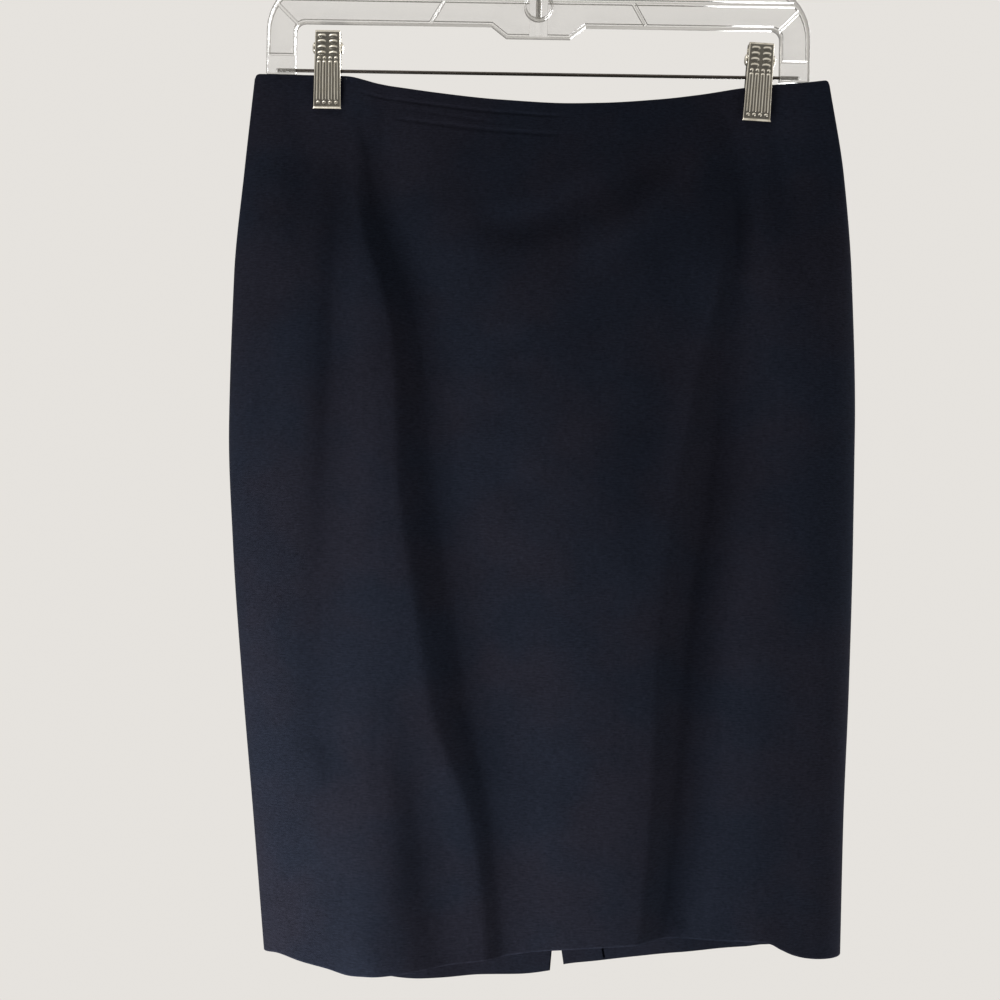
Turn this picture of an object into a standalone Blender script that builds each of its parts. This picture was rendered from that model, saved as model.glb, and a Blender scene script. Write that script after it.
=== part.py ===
"""A navy pencil skirt on a clear clip hanger, as solids.

Metres, +Z up. The origin is the inner top of the hanger's hook, where a rail
carries it. The front of the skirt faces -Y, and +X is the right of somebody
who looks at the front. Sizes in the tables are millimetres. A height on the
skirt is a drop below the hanger's rod.

The cloth is two facing walls, front and back, that meet at the side seams.
Each wall is a grid of points: "across" runs from -1 at the left side seam to
+1 at the right one, and "down" from 0 at the waist edge to 1 at the hem.
"""
import math
from collections import namedtuple

import bmesh
import bpy
import numpy as np
from mathutils import Matrix, Vector

MM = 0.001

# ---------------------------------------------------------------- cloth sizes
WALL = 1.6                  # thickness of the cloth with its turned edges
SEAM_GAP = 0.3              # space between two pieces that are sewn together
SIDE_LENGTH = 576.0         # side seam, from the rod's height to the hem
FRONT, BACK = -1, 1         # which way a wall's outer face points along Y

ROWS = 34
FRONT_LANES = (15, 16, 13)  # columns from side to fold, from fold to fold, and to the other side
BACK_LANES = (10, 10)       # columns from side to fold, and from fold to centre back
SIDE_CROWDING = 0.5         # 0 spreads a side lane's columns evenly, 1 crowds them at the seam
SIDE_STEP = 0.02            # share of the half width over which a side seam's lean is read
SIDE_FADE = 0.08            # share of the half width over which folds die out at a side seam
SHOULDER = 0.7              # where across the panel the left and right depths hold in full
CLOTH_SMOOTH_ANGLE = math.radians(75)   # only the cut edges stay sharp

# A row for each section: how far the sides reach, and how deep each wall
# stands out at its left, middle and right. A higher corner is a boxier side.
Section = namedtuple("Section", "drop left right front_left front_mid front_right "
                                "back_left back_mid back_right corner")
SECTIONS = (
    Section(0, -186.0, 192.0, 2, 12, 2, 2, 10, 2, 3.0),
    Section(60, -191.8, 202.4, 14, 22, 13, 12, 20, 12, 2.6),
    Section(130, -197.6, 208.8, 30, 34, 26, 22, 34, 24, 2.4),
    Section(230, -199.4, 212.3, 42, 42, 35, 28, 40, 30, 2.3),
    Section(310, -195.5, 212.0, 48, 45, 38, 28, 38, 30, 2.3),
    Section(400, -188.0, 210.6, 54, 47, 40, 24, 32, 28, 2.3),
    Section(490, -179.2, 208.2, 61, 48, 42, 18, 26, 26, 2.2),
    Section(576, -171.0, 207.4, 67, 48, 43, 14, 22, 24, 2.2),
)

# The cut edges, as x and drop: the waist sags between the clips, and the hem
# hangs lowest at the left of the back.
Edge = namedtuple("Edge", "x drop")
WAIST_EDGE = (
    Edge(-186, 3.6), Edge(-127, 3.8), Edge(-104, 7.6), Edge(-64, 14.2), Edge(-24, 18.8),
    Edge(15, 20.8), Edge(41, 20.0), Edge(80, 17.0), Edge(107, 13.2), Edge(134, 8.0),
    Edge(154, 5.6), Edge(178, 3.6), Edge(192, 1.8),
)
FRONT_HEM = (
    Edge(-171, 576), Edge(-158, 572.5), Edge(-143, 571.5), Edge(-126, 574.5), Edge(-109, 578.5),
    Edge(-75, 577.5), Edge(-50, 574), Edge(-19, 571),
    Edge(13, 566.5), Edge(50, 563), Edge(80, 561), Edge(115, 559.5), Edge(152, 560),
    Edge(163, 562.5), Edge(176, 569), Edge(192, 574), Edge(207.4, 576),
)
BACK_HEM = (
    Edge(-171, 576), Edge(-151, 580), Edge(-133, 587), Edge(-109, 594.5), Edge(-84, 598),
    Edge(-29, 597.5), Edge(15, 595.5), Edge(27, 591), Edge(51, 588), Edge(78, 584.5),
    Edge(118, 578.5), Edge(157, 573), Edge(180, 574), Edge(207.4, 576),
)

# A row for each fold: its path as x and drop, its half width at either end,
# and how deep it is at its start, middle and end. A ridge has a minus depth.
Fold = namedtuple("Fold", "name path wide_start wide_end start middle end")
FRONT_FOLDS = (
    Fold("left clip to hem", ((-124, 24), (-100, 96), (-79, 195), (-69, 287), (-45, 420), (-9, 572)),
         13, 21, 5, 10, 8),
    Fold("under left clip", ((-128, 60), (-127, 208), (-125, 284), (-129, 400), (-131, 470)),
         14, 16, 1, 4, 0),
    Fold("left drag", ((-149, 36), (-163, 58), (-172, 82)), 11, 11, 1, 3, 0),
    Fold("low left", ((-84, 440), (-76, 494), (-69, 521), (-56, 572)), 12, 14, 0, 6, 7),
    Fold("left hem corner", ((-114, 440), (-113, 520), (-109, 579)), 20, 14, 0, -4, -6),
    Fold("right clip to hem",
         ((133, 34), (134, 83), (126, 147), (112, 215), (106, 320), (98, 430), (88, 562)), 13, 21, 4, 10, 9),
    Fold("beside right clip", ((119, 90), (109, 125), (98, 172), (80, 238), (59, 300)), 15, 18, 0, -4, 0),
    Fold("right drag", ((92, 110), (80, 160), (66, 198), (53, 233), (34, 301)), 14, 18, 0, 5, 0),
    Fold("upper right drag", ((88, 72), (72, 86), (52, 108), (32, 126)), 13, 15, 0, 4, 0),
    Fold("waist sag", ((-66, 90), (-44, 102), (-18, 108), (8, 106)), 14, 15, 0, 5, 0),
    Fold("low right", ((138, 400), (140, 470), (141, 540)), 18, 18, 0, -4, -2),
)
BACK_FOLDS = (
    Fold("left clip to hem", ((-127, 26), (-111, 110), (-99, 215), (-93, 330), (-82, 450), (-76, 594)),
         14, 21, 4, 8, 6),
    Fold("right clip to hem", ((135, 34), (129, 120), (117, 225), (112, 340), (104, 460), (101, 580)),
         14, 21, 4, 8, 6),
    Fold("left half drag", ((-84, 70), (-66, 135), (-55, 210), (-50, 300)), 14, 18, 0, 4, 0),
    Fold("right half drag", ((92, 66), (76, 128), (66, 205), (63, 310)), 14, 18, 0, 4, 0),
    Fold("waist sag", ((-52, 92), (-22, 105), (12, 108), (50, 92)), 15, 15, 0, 4, 0),
    Fold("low left", ((-139, 380), (-136, 470), (-130, 588)), 14, 16, 0, 4, 4),
    Fold("low right", ((160, 390), (163, 470), (165, 574)), 14, 15, 0, 4, 4),
)

# ------------------------------------------------------ centre back and vent
CENTRE_BACK_TOP, CENTRE_BACK_HEM = 3.0, 21.5    # x of the centre back seam
VENT_HEIGHT = 145.0
Slit = namedtuple("Slit", "above_hem half_gap")
VENT_SLIT = (Slit(0, 6.0), Slit(12, 4.0), Slit(50, 3.0), Slit(100, 1.6), Slit(VENT_HEIGHT, SEAM_GAP / 2))
FACING_WIDTH = 26.0
FACING_WALL = 1.2
FACING_GAP = 0.5            # to the panel it lies on
FACING_COLUMNS, FACING_ROWS = 4, 14

# ------------------------------------------------------------------- hanger
ROD_HEIGHT = -137.5         # the rod's axis, below the hook's inner top
ROD_RADIUS = 1.15
ROD_HALF_LENGTH = 171.0
RUNNING_GAP = 0.3           # round the rod and the hook in their bores
FRAME_HALF_WIDTH = 178.0    # a 14 inch hanger
FRAME_TOP, FRAME_UNDERSIDE, FRAME_FOOT = -76.0, -106.0, -140.2
FRAME_DEPTH = 8.6
FRAME_OUTER_RADIUS, FRAME_INNER_RADIUS = 36.0, 6.0
LEG_WIDTH = 19.0
FRAME_RIM = 1.5
FRAME_RIB = 0.8             # half a rib's width
FRAME_WEB = 2.0             # thickness between the pockets
DIP_HALF_TOP, DIP_HALF_BOTTOM, DIP_DEPTH = 31.0, 21.0, 7.7
MIDDLE_RIB = -89.5
BRACE_TOP, BRACE_FOOT = 62.0, 71.5      # x of the slanted ribs
SOCKET_TOP = -127.0
SOCKET_BORE_END = 172.0
BOSS_HALF_WIDTH, BOSS_RADIUS = 6.0, 5.2
BOSS_TOP, BOSS_BORE_END = -74.5, -101.0
WIRE_RADIUS = 1.6
HOOK_INNER_RADIUS = 18.0
HOOK_STEM_END, HOOK_STEM_BEND = -100.7, -60.0
HOOK_START, HOOK_TIP = math.radians(-35), math.radians(212)
HOOK_HANDLE = 14.0          # how soon the stem leans over into the loop

# -------------------------------------------------------------------- clips
Clip = namedtuple("Clip", "name x drop lean")
CLIPS = (Clip("clip_left", -138.0, 0.0, 0.0), Clip("clip_right", 145.2, 3.7, math.radians(2.9)))
JAW_TOP, JAW_FOOT = 25.5, -25.5       # above and below the rod
JAW_TOP_WIDTH, JAW_FOOT_WIDTH = 16.2, 18.4
JAW_WALL = 0.8
JAW_TOP_DEPTH, JAW_FOOT_DEPTH = 6.6, 3.5        # from the clip's middle to its face
JAW_OPENING = 2.1           # half the space between the jaws
SPRING_HEIGHT = 15.0
SPRING_OUTER, SPRING_INNER, SPRING_HALF_LENGTH = 4.6, 3.3, 7.0
PIN_RADIUS, PIN_HEAD_RADIUS, PIN_HEAD, PIN_SHOULDER = 1.8, 3.8, 1.5, 8.7
PINCH_HALF_WIDTH, PINCH_DROP = 11.0, 33.0       # cloth held flat by a clip
PINCH_EASE_ACROSS, PINCH_EASE_DOWN = 18.0, 50.0

# ---------------------------------------------------------------------- zip
ZIP_BELOW_EDGE = 11.0       # the slider's middle, below the waist edge
ZIP_GAP = 0.4               # to the cloth
SLIDER = (5.2, 2.4, 9.0)    # width, depth and height
ARCH_RADIUS, ARCH_WIRE = 1.6, 0.5
PIVOT_OFF_FACE = 0.95       # from the slider's face to the pull's axis
PULL_WIDTH, PULL_TIP_WIDTH, PULL_LENGTH, PULL_THICK = 4.6, 6.4, 22.0, 1.0
PULL_BAR, PULL_WINDOW = 0.5, (2.0, 3.0)         # bar's half height, eye's width and reach

COLLECTION = "pencil_skirt_on_clip_hanger"


# ------------------------------------------------------------------- scene
def clear_scene():
    """Removes whatever the open file holds."""
    for old in list(bpy.data.objects):
        bpy.data.objects.remove(old, do_unlink=True)


def make_collection(name):
    """A new collection under the scene's own."""
    collection = bpy.data.collections.new(name)
    bpy.context.scene.collection.children.link(collection)
    return collection


def make_material(name, colour, roughness, metallic=0.0, alpha=1.0):
    """A Principled material of one colour."""
    material = bpy.data.materials.new(name)
    material.use_nodes = True
    shader = material.node_tree.nodes["Principled BSDF"]
    shader.inputs["Base Color"].default_value = (*colour, 1.0)
    shader.inputs["Roughness"].default_value = roughness
    shader.inputs["Metallic"].default_value = metallic
    shader.inputs["Alpha"].default_value = alpha
    return material


def add_object(name, data, collection, material=None):
    """An object for a mesh or curve, in a collection, with its material."""
    piece = bpy.data.objects.new(name, data)
    if material:
        data.materials.append(material)
    collection.objects.link(piece)
    return piece


def mesh_from(bm, name, smooth_angle=math.radians(40)):
    """A mesh, in metres, of a bmesh that was made in millimetres."""
    bmesh.ops.scale(bm, vec=Vector((MM, MM, MM)), verts=bm.verts)
    mesh = bpy.data.meshes.new(name)
    bm.to_mesh(mesh)
    bm.free()
    mesh.shade_smooth()
    mesh.set_sharp_from_angle(angle=smooth_angle)
    return mesh


def apply_modifiers(piece):
    """Replaces a piece's mesh with what its modifiers make of it."""
    bpy.context.view_layer.update()
    evaluated = piece.evaluated_get(bpy.context.evaluated_depsgraph_get())
    finished = bpy.data.meshes.new_from_object(evaluated)
    piece.modifiers.clear()
    piece.data = finished


def combine(piece, other, operation):
    """Joins another solid to a piece, or cuts it out, and removes that solid."""
    boolean = piece.modifiers.new(operation.lower(), "BOOLEAN")
    boolean.operation = operation
    boolean.solver = "EXACT"
    boolean.object = other
    apply_modifiers(piece)
    bpy.data.objects.remove(other, do_unlink=True)


def as_cutter(piece):
    """Marks an object as a guide that is no part of the model."""
    piece.hide_render = True
    piece.display_type = "WIRE"
    return piece


# ------------------------------------------------------------------- cloth
def smooth_through(knots, values, places):
    """A smooth curve through some values, without overshoot, read at some places."""
    knots, values = np.asarray(knots, float), np.asarray(values, float)
    rises = np.diff(values) / np.diff(knots)
    before, after = np.append(rises[:1], rises), np.append(rises, rises[-1:])
    same_way = before * after > 0
    slopes = np.where(same_way, 2 * before * after / np.where(same_way, before + after, 1.0), 0.0)
    index = np.clip(np.searchsorted(knots, places, side="right") - 1, 0, len(knots) - 2)
    span = knots[index + 1] - knots[index]
    t = np.clip((places - knots[index]) / span, 0.0, 1.0)
    start, end = values[index], values[index + 1]
    lean_in, lean_out = slopes[index] * span, slopes[index + 1] * span
    return (start * (2 * t**3 - 3 * t**2 + 1) + end * (3 * t**2 - 2 * t**3)
            + lean_in * (t**3 - 2 * t**2 + t) + lean_out * (t**3 - t**2))


def column(table, name):
    """One named column of a table."""
    return [getattr(row, name) for row in table]


def section(name, down):
    """A column of the section table, read at a share of the way down."""
    return smooth_through(column(SECTIONS, "drop"), column(SECTIONS, name), down * SIDE_LENGTH)


def edge_drop(table, x):
    """How far a cut edge lies below the rod at x."""
    return smooth_through(column(table, "x"), column(table, "drop"), x)


def ease(t):
    """A smooth step from 0 to 1."""
    t = np.clip(t, 0.0, 1.0)
    return t * t * (3 - 2 * t)


def falloff(distance, reach):
    """1 up to no distance, then a soft fall to 0."""
    return np.exp(-(np.maximum(distance, 0.0) / reach) ** 2)


def fold_relief(folds, x, drop):
    """How far the folds press the cloth in, at x and drop."""
    relief = np.zeros_like(x)
    for fold in folds:
        marks = np.linspace(0.0, 1.0, len(fold.path))
        fine = np.linspace(0.0, 1.0, 8 * len(fold.path))
        path_x = smooth_through(marks, [point[0] for point in fold.path], fine)
        path_drop = smooth_through(marks, [point[1] for point in fold.path], fine)
        nearest, along = np.full_like(x, np.inf), np.zeros_like(x)
        for step in range(len(fine) - 1):
            run_x, run_drop = path_x[step + 1] - path_x[step], path_drop[step + 1] - path_drop[step]
            off_x, off_drop = x - path_x[step], drop - path_drop[step]
            t = np.clip((off_x * run_x + off_drop * run_drop) / (run_x**2 + run_drop**2), 0.0, 1.0)
            distance = np.hypot(off_x - t * run_x, off_drop - t * run_drop)
            closer = distance < nearest
            nearest = np.where(closer, distance, nearest)
            along = np.where(closer, fine[step] + t * (fine[step + 1] - fine[step]), along)
        width = fold.wide_start + (fold.wide_end - fold.wide_start) * along
        depth = np.where(along < 0.5,
                         fold.start + (fold.middle - fold.start) * ease(2 * along),
                         fold.middle + (fold.end - fold.middle) * ease(2 * along - 1))
        relief += depth * np.exp(-(nearest / width) ** 2)
    return relief


def clip_pinch(x, drop):
    """1 where a clip holds the cloth flat, and 0 away from the clips."""
    held = np.zeros_like(x)
    for clip in CLIPS:
        beside = falloff(np.abs(x - clip.x) - PINCH_HALF_WIDTH, PINCH_EASE_ACROSS)
        below = falloff(drop - PINCH_DROP, PINCH_EASE_DOWN)
        held = np.maximum(held, beside * below)
    return held


def plain_depth(side, across, down):
    """How deep a wall stands out before any fold."""
    face = "front" if side == FRONT else "back"
    left, middle, right = (section(f"{face}_{part}", down) for part in ("left", "mid", "right"))
    depth = (middle + (left - middle) * ease(-across / SHOULDER)
             + (right - middle) * ease(across / SHOULDER))
    rounding = 1.0 - np.abs(across) ** section("corner", down)
    return depth * np.sqrt(np.maximum(rounding, 0.0))


def seam_offset(side, end, down):
    """Where a wall's outer face meets the side seam, off the seam's middle."""
    inset = np.full_like(down, end * (1.0 - SIDE_STEP))
    rise = plain_depth(side, inset, down)
    run = SIDE_STEP * (section("right", down) - section("left", down)) / 2
    return SEAM_GAP / 2 + WALL * run / np.hypot(run, rise)


def outer_points(side, across, down):
    """Points on the outer face of the front or the back, in millimetres."""
    left, right = section("left", down), section("right", down)
    x = left + (right - left) * (across + 1) / 2
    top = edge_drop(WAIST_EDGE, x)
    bottom = edge_drop(FRONT_HEM if side == FRONT else BACK_HEM, x)
    drop = top + (bottom - top) * down
    fade = ease((1.0 - np.abs(across)) / SIDE_FADE)
    relief = fold_relief(FRONT_FOLDS if side == FRONT else BACK_FOLDS, x, drop) * fade
    depth = np.maximum(plain_depth(side, across, down) - relief, 0.0) * (1.0 - clip_pinch(x, drop))
    at_left, at_right = seam_offset(side, -1, down), seam_offset(side, 1, down)
    offset = at_left + (at_right - at_left) * (across + 1) / 2
    return np.stack((x, side * (depth + offset), ROD_HEIGHT - drop), axis=-1)


def outward(side, points):
    """Unit normals of a grid of points, out of the skirt."""
    normals = np.cross(np.gradient(points, axis=1), np.gradient(points, axis=0))
    normals /= np.linalg.norm(normals, axis=-1, keepdims=True)
    towards = np.median(normals[..., 1]) * side
    return normals if towards > 0 else -normals


def moved_in(side, points, distance):
    """A grid moved into the skirt, and kept on its own side of the seams."""
    inner = points - outward(side, points) * distance
    reach = np.maximum(side * inner[..., 1], SEAM_GAP / 2)
    inner[..., 1] = side * reach
    return inner


def shell(name, outer, inner, collection, material):
    """A closed wall between an outer and an inner grid of points."""
    bm = bmesh.new()
    layers = [[[bm.verts.new(Vector(point)) for point in row] for row in grid]
              for grid in (outer, inner)]
    rows, columns = len(outer), len(outer[0])
    for layer in layers:
        for r in range(rows - 1):
            for c in range(columns - 1):
                bm.faces.new((layer[r][c], layer[r][c + 1], layer[r + 1][c + 1], layer[r + 1][c]))
    border = ([(0, c) for c in range(columns)]
              + [(r, columns - 1) for r in range(1, rows)]
              + [(rows - 1, c) for c in range(columns - 2, -1, -1)]
              + [(r, 0) for r in range(rows - 2, 0, -1)])
    for here, there in zip(border, border[1:] + border[:1]):
        bm.faces.new([layers[0][here[0]][here[1]], layers[0][there[0]][there[1]],
                      layers[1][there[0]][there[1]], layers[1][here[0]][here[1]]])
    bmesh.ops.recalc_face_normals(bm, faces=bm.faces)
    return add_object(name, mesh_from(bm, name, CLOTH_SMOOTH_ANGLE), collection, material)


def fold_line(folds, name, down):
    """Where a fold runs, as a share across the skirt, for each row."""
    path = next(fold.path for fold in folds if fold.name == name)
    x = smooth_through([drop for _, drop in path], [x for x, _ in path], down * SIDE_LENGTH)
    return across_at(x, down)


def lane(count, start, end, crowd_start=False, crowd_end=False):
    """Columns from one line to the next, without the last, crowded at a side seam."""
    t = np.arange(count) / count
    crowded = (1 - SIDE_CROWDING) * t + SIDE_CROWDING * (1 - np.cos(t * math.pi / 2))
    if crowd_end:
        t = 1 - t
        crowded = 1 - ((1 - SIDE_CROWDING) * t + SIDE_CROWDING * (1 - np.cos(t * math.pi / 2)))
    share = crowded if crowd_start or crowd_end else t
    return start[:, None] + (end - start)[:, None] * share


def row_places():
    """How far down each row of a panel's grid is."""
    return np.linspace(0.0, 1.0, ROWS + 1)


def centre_back(down):
    """The x of the centre back seam."""
    return CENTRE_BACK_TOP + (CENTRE_BACK_HEM - CENTRE_BACK_TOP) * down


def across_at(x, down):
    """The share across the skirt that an x stands for."""
    left, right = section("left", down), section("right", down)
    return 2 * (x - left) / (right - left) - 1


def back_edge(end, down):
    """Where a back panel ends at the centre: the seam, and the vent below it."""
    above_hem = (1.0 - down) * SIDE_LENGTH
    half_gap = np.interp(above_hem, column(VENT_SLIT, "above_hem"), column(VENT_SLIT, "half_gap"))
    return across_at(centre_back(down) + end * half_gap, down)


def make_front(collection, material):
    """The front, one panel from side seam to side seam, its columns along the two main folds."""
    rows = row_places()
    side = np.ones_like(rows)
    left = fold_line(FRONT_FOLDS, "left clip to hem", rows)
    right = fold_line(FRONT_FOLDS, "right clip to hem", rows)
    across = np.hstack((lane(FRONT_LANES[0], -side, left, crowd_start=True),
                        lane(FRONT_LANES[1], left, right),
                        lane(FRONT_LANES[2], right, side, crowd_end=True), side[:, None]))
    down = np.broadcast_to(rows[:, None], across.shape)
    outer = outer_points(FRONT, across, down)
    return shell("front_panel", outer, moved_in(FRONT, outer, WALL), collection, material)


def make_back(end, collection, material):
    """One back panel: end is -1 for the left half and 1 for the right half."""
    rows = row_places()
    side = np.full_like(rows, float(end))
    name = "left" if end < 0 else "right"
    fold = fold_line(BACK_FOLDS, f"{name} clip to hem", rows)
    centre = back_edge(end, rows)
    across = np.hstack((lane(BACK_LANES[0], side, fold, crowd_start=True),
                        lane(BACK_LANES[1], fold, centre), centre[:, None]))
    down = np.broadcast_to(rows[:, None], across.shape)
    outer = outer_points(BACK, across, down)
    return shell(f"back_panel_{name}", outer, moved_in(BACK, outer, WALL), collection, material)


def make_vent_facing(collection, material):
    """The turned-in strip along the right edge of the vent, on the inner side."""
    step, down = np.meshgrid(np.linspace(0, 1, FACING_COLUMNS + 1),
                             np.linspace(1 - VENT_HEIGHT / SIDE_LENGTH, 1, FACING_ROWS + 1))
    left, right = section("left", down), section("right", down)
    across = back_edge(1, down) + step * FACING_WIDTH * 2 / (right - left)
    panel = outer_points(BACK, across, down)
    near, far = WALL + FACING_GAP, WALL + FACING_GAP + FACING_WALL
    return shell("vent_facing", moved_in(BACK, panel, near), moved_in(BACK, panel, far),
                 collection, material)


# ------------------------------------------------------------------ hanger
def arc(centre, radius, start, end, steps):
    """Points round a centre, in the XZ plane."""
    angles = np.linspace(start, end, steps + 1)
    return [(centre[0] + radius * math.cos(a), centre[1] + radius * math.sin(a)) for a in angles]


def frame_outline(inset=0.0):
    """The hanger frame's outline, a beam with a leg at each end, or a line that far inside it."""
    quarter = math.pi / 2
    inner_x = FRAME_HALF_WIDTH - LEG_WIDTH
    half = [(0.0, FRAME_TOP - inset)]
    half += arc((FRAME_HALF_WIDTH - FRAME_OUTER_RADIUS, FRAME_TOP - FRAME_OUTER_RADIUS),
                FRAME_OUTER_RADIUS - inset, quarter, 0.0, 10)
    half += [(FRAME_HALF_WIDTH - inset, FRAME_FOOT), (inner_x + inset, FRAME_FOOT)]
    half += arc((inner_x - FRAME_INNER_RADIUS, FRAME_UNDERSIDE - FRAME_INNER_RADIUS),
                FRAME_INNER_RADIUS + inset, 0.0, quarter, 5)
    half += [(DIP_HALF_TOP - inset / 2, FRAME_UNDERSIDE + inset),
             (DIP_HALF_BOTTOM - inset / 2, FRAME_UNDERSIDE - DIP_DEPTH + inset)]
    mirrored = [(-x, z) for x, z in reversed(half[1:])]
    return half + mirrored


def flat_face(outline, y):
    """A bmesh with one face: an outline in the XZ plane."""
    bm = bmesh.new()
    bm.faces.new([bm.verts.new((x, y, z)) for x, z in outline])
    return bm


def prism(bm, depth):
    """Makes closed solids of flat faces, that far along Y."""
    back = bmesh.ops.extrude_face_region(bm, geom=bm.faces[:], use_keep_orig=True)
    moved = [item for item in back["geom"] if isinstance(item, bmesh.types.BMVert)]
    bmesh.ops.translate(bm, vec=(0, depth, 0), verts=moved)
    bmesh.ops.recalc_face_normals(bm, faces=bm.faces)


def clear_strip(bm, faces, point, normal, half_width):
    """Takes a strip out of flat pocket faces, so that a rib is left standing there."""
    point, normal = Vector(point), Vector(normal).normalized()
    for way in (-1, 1):
        geometry = set(faces) | {edge for face in faces for edge in face.edges}
        geometry |= {vert for face in faces for vert in face.verts}
        before = set(bm.faces)
        bmesh.ops.bisect_plane(bm, geom=list(geometry), dist=1e-4,
                               plane_co=point + way * half_width * normal, plane_no=normal)
        faces = [face for face in set(faces) | (set(bm.faces) - before) if face.is_valid]
    strip = [face for face in faces if abs((face.calc_center_median() - point).dot(normal)) < half_width]
    bmesh.ops.delete(bm, geom=strip, context="FACES")


def lower_faces(bm, end):
    """The pocket faces below the middle rib, at one end of the frame."""
    middles = {face: face.calc_center_median() for face in bm.faces}
    return [face for face, middle in middles.items() if middle.z < MIDDLE_RIB and middle.x * end > 0]


def frame_pockets(face_y, depth, cutters):
    """The hollows between the ribs on one face of the frame, as a cutter."""
    bm = flat_face(frame_outline(FRAME_RIM), face_y)
    clear_strip(bm, bm.faces[:], (0, 0, MIDDLE_RIB), (0, 0, 1), FRAME_RIB)
    clear_strip(bm, bm.faces[:], (0, 0, 0), (1, 0, 0), BOSS_HALF_WIDTH)
    socket = (SOCKET_TOP - FRAME_FOOT) / 2
    clear_strip(bm, bm.faces[:], (0, 0, FRAME_FOOT + socket), (0, 0, 1), socket)
    for end in (-1, 1):
        inner_x = end * (FRAME_HALF_WIDTH - LEG_WIDTH)
        mitre = (inner_x, 0, FRAME_UNDERSIDE)
        clear_strip(bm, lower_faces(bm, end), mitre, (end, 0, -1), FRAME_RIB)
        brace = (end * BRACE_TOP, 0, MIDDLE_RIB)
        run = Vector((end * (BRACE_FOOT - BRACE_TOP), 0, FRAME_UNDERSIDE - MIDDLE_RIB))
        clear_strip(bm, lower_faces(bm, end), brace, (-run.z, 0, run.x), FRAME_RIB)
    prism(bm, depth)
    return as_cutter(add_object("frame_pockets", mesh_from(bm, "frame_pockets"), cutters))


def make_frame(collection, cutters, material):
    """The clear frame: a web with a rim and ribs on both faces."""
    bm = flat_face(frame_outline(), -FRAME_DEPTH / 2)
    prism(bm, FRAME_DEPTH)
    frame = add_object("hanger_frame", mesh_from(bm, "hanger_frame"), collection, material)
    reach = (FRAME_DEPTH - FRAME_WEB) / 2
    for side in (FRONT, BACK):
        pockets = frame_pockets(side * (FRAME_DEPTH / 2 + 1), -side * (reach + 1), cutters)
        combine(frame, pockets, "DIFFERENCE")
    boss = cylinder("hook_boss", BOSS_RADIUS, (0, 0, FRAME_UNDERSIDE - DIP_DEPTH + 0.5),
                    (0, 0, BOSS_TOP), 16, cutters)
    combine(frame, boss, "UNION")
    rod_bore = cylinder("rod_bore", ROD_RADIUS + RUNNING_GAP, (-SOCKET_BORE_END, 0, ROD_HEIGHT),
                        (SOCKET_BORE_END, 0, ROD_HEIGHT), 16, cutters)
    combine(frame, as_cutter(rod_bore), "DIFFERENCE")
    hook_bore = cylinder("hook_bore", WIRE_RADIUS + RUNNING_GAP, (0, 0, BOSS_BORE_END),
                         (0, 0, BOSS_TOP + 5), 16, cutters)
    combine(frame, as_cutter(hook_bore), "DIFFERENCE")
    return frame


def cylinder(name, radius, start, end, sides, collection, material=None):
    """A cylinder between two points in millimetres."""
    start, end = Vector(start), Vector(end)
    run = end - start
    turn = run.to_track_quat("Z", "Y").to_matrix().to_4x4()
    bm = bmesh.new()
    bmesh.ops.create_cone(bm, cap_ends=True, segments=sides, radius1=radius, radius2=radius,
                          depth=run.length, matrix=Matrix.Translation((start + end) / 2) @ turn)
    return add_object(name, mesh_from(bm, name), collection, material)


def bezier(points, steps):
    """Points along a cubic curve with four control points."""
    a, b, c, d = (np.array(point, float) for point in points)
    places = np.linspace(0.0, 1.0, steps + 1)
    return [tuple((1 - t)**3 * a + 3 * (1 - t)**2 * t * b + 3 * (1 - t) * t**2 * c + t**3 * d)
            for t in places]


def hook_path():
    """The middle of the hook's wire: stem, lean, and loop over the rail."""
    middle = (0.0, -HOOK_INNER_RADIUS)
    radius = HOOK_INNER_RADIUS + WIRE_RADIUS
    loop = arc(middle, radius, HOOK_START, HOOK_TIP, 22)
    towards = (-math.sin(HOOK_START) * HOOK_HANDLE, math.cos(HOOK_START) * HOOK_HANDLE)
    lean = bezier(((0.0, HOOK_STEM_BEND), (0.0, HOOK_STEM_BEND + HOOK_HANDLE),
                   (loop[0][0] - towards[0], loop[0][1] - towards[1]), loop[0]), 7)
    return [(0.0, HOOK_STEM_END)] + lean[:-1] + loop


def make_hook(collection, material):
    """The wire hook, as a curve with a round section."""
    curve = bpy.data.curves.new("hanger_hook", "CURVE")
    curve.dimensions = "3D"
    curve.bevel_depth = WIRE_RADIUS * MM
    curve.bevel_resolution = 3
    curve.use_fill_caps = True
    spline = curve.splines.new("POLY")
    path = hook_path()
    spline.points.add(len(path) - 1)
    for point, (x, z) in zip(spline.points, path):
        point.co = (x * MM, 0.0, z * MM, 1.0)
    return add_object("hanger_hook", curve, collection, material)


# ------------------------------------------------------------------- clips
def turned(name, profile, collection, material, place):
    """A turned piece about X: its profile is radius and place along the axis."""
    bm = bmesh.new()
    verts = [bm.verts.new((radius, 0.0, along)) for radius, along in profile]
    for here, there in zip(verts, verts[1:]):
        bm.edges.new((here, there))
    if profile[0][0] > 0:
        bm.edges.new((verts[-1], verts[0]))
    piece = add_object(name, mesh_from(bm, name), collection, material)
    screw = piece.modifiers.new("turn", "SCREW")
    screw.axis = "Z"
    screw.steps = screw.render_steps = 16
    screw.use_merge_vertices = True
    screw.merge_threshold = 1e-5
    piece.matrix_world = place @ Matrix.Rotation(math.radians(90), 4, "Y")
    return piece


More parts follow.
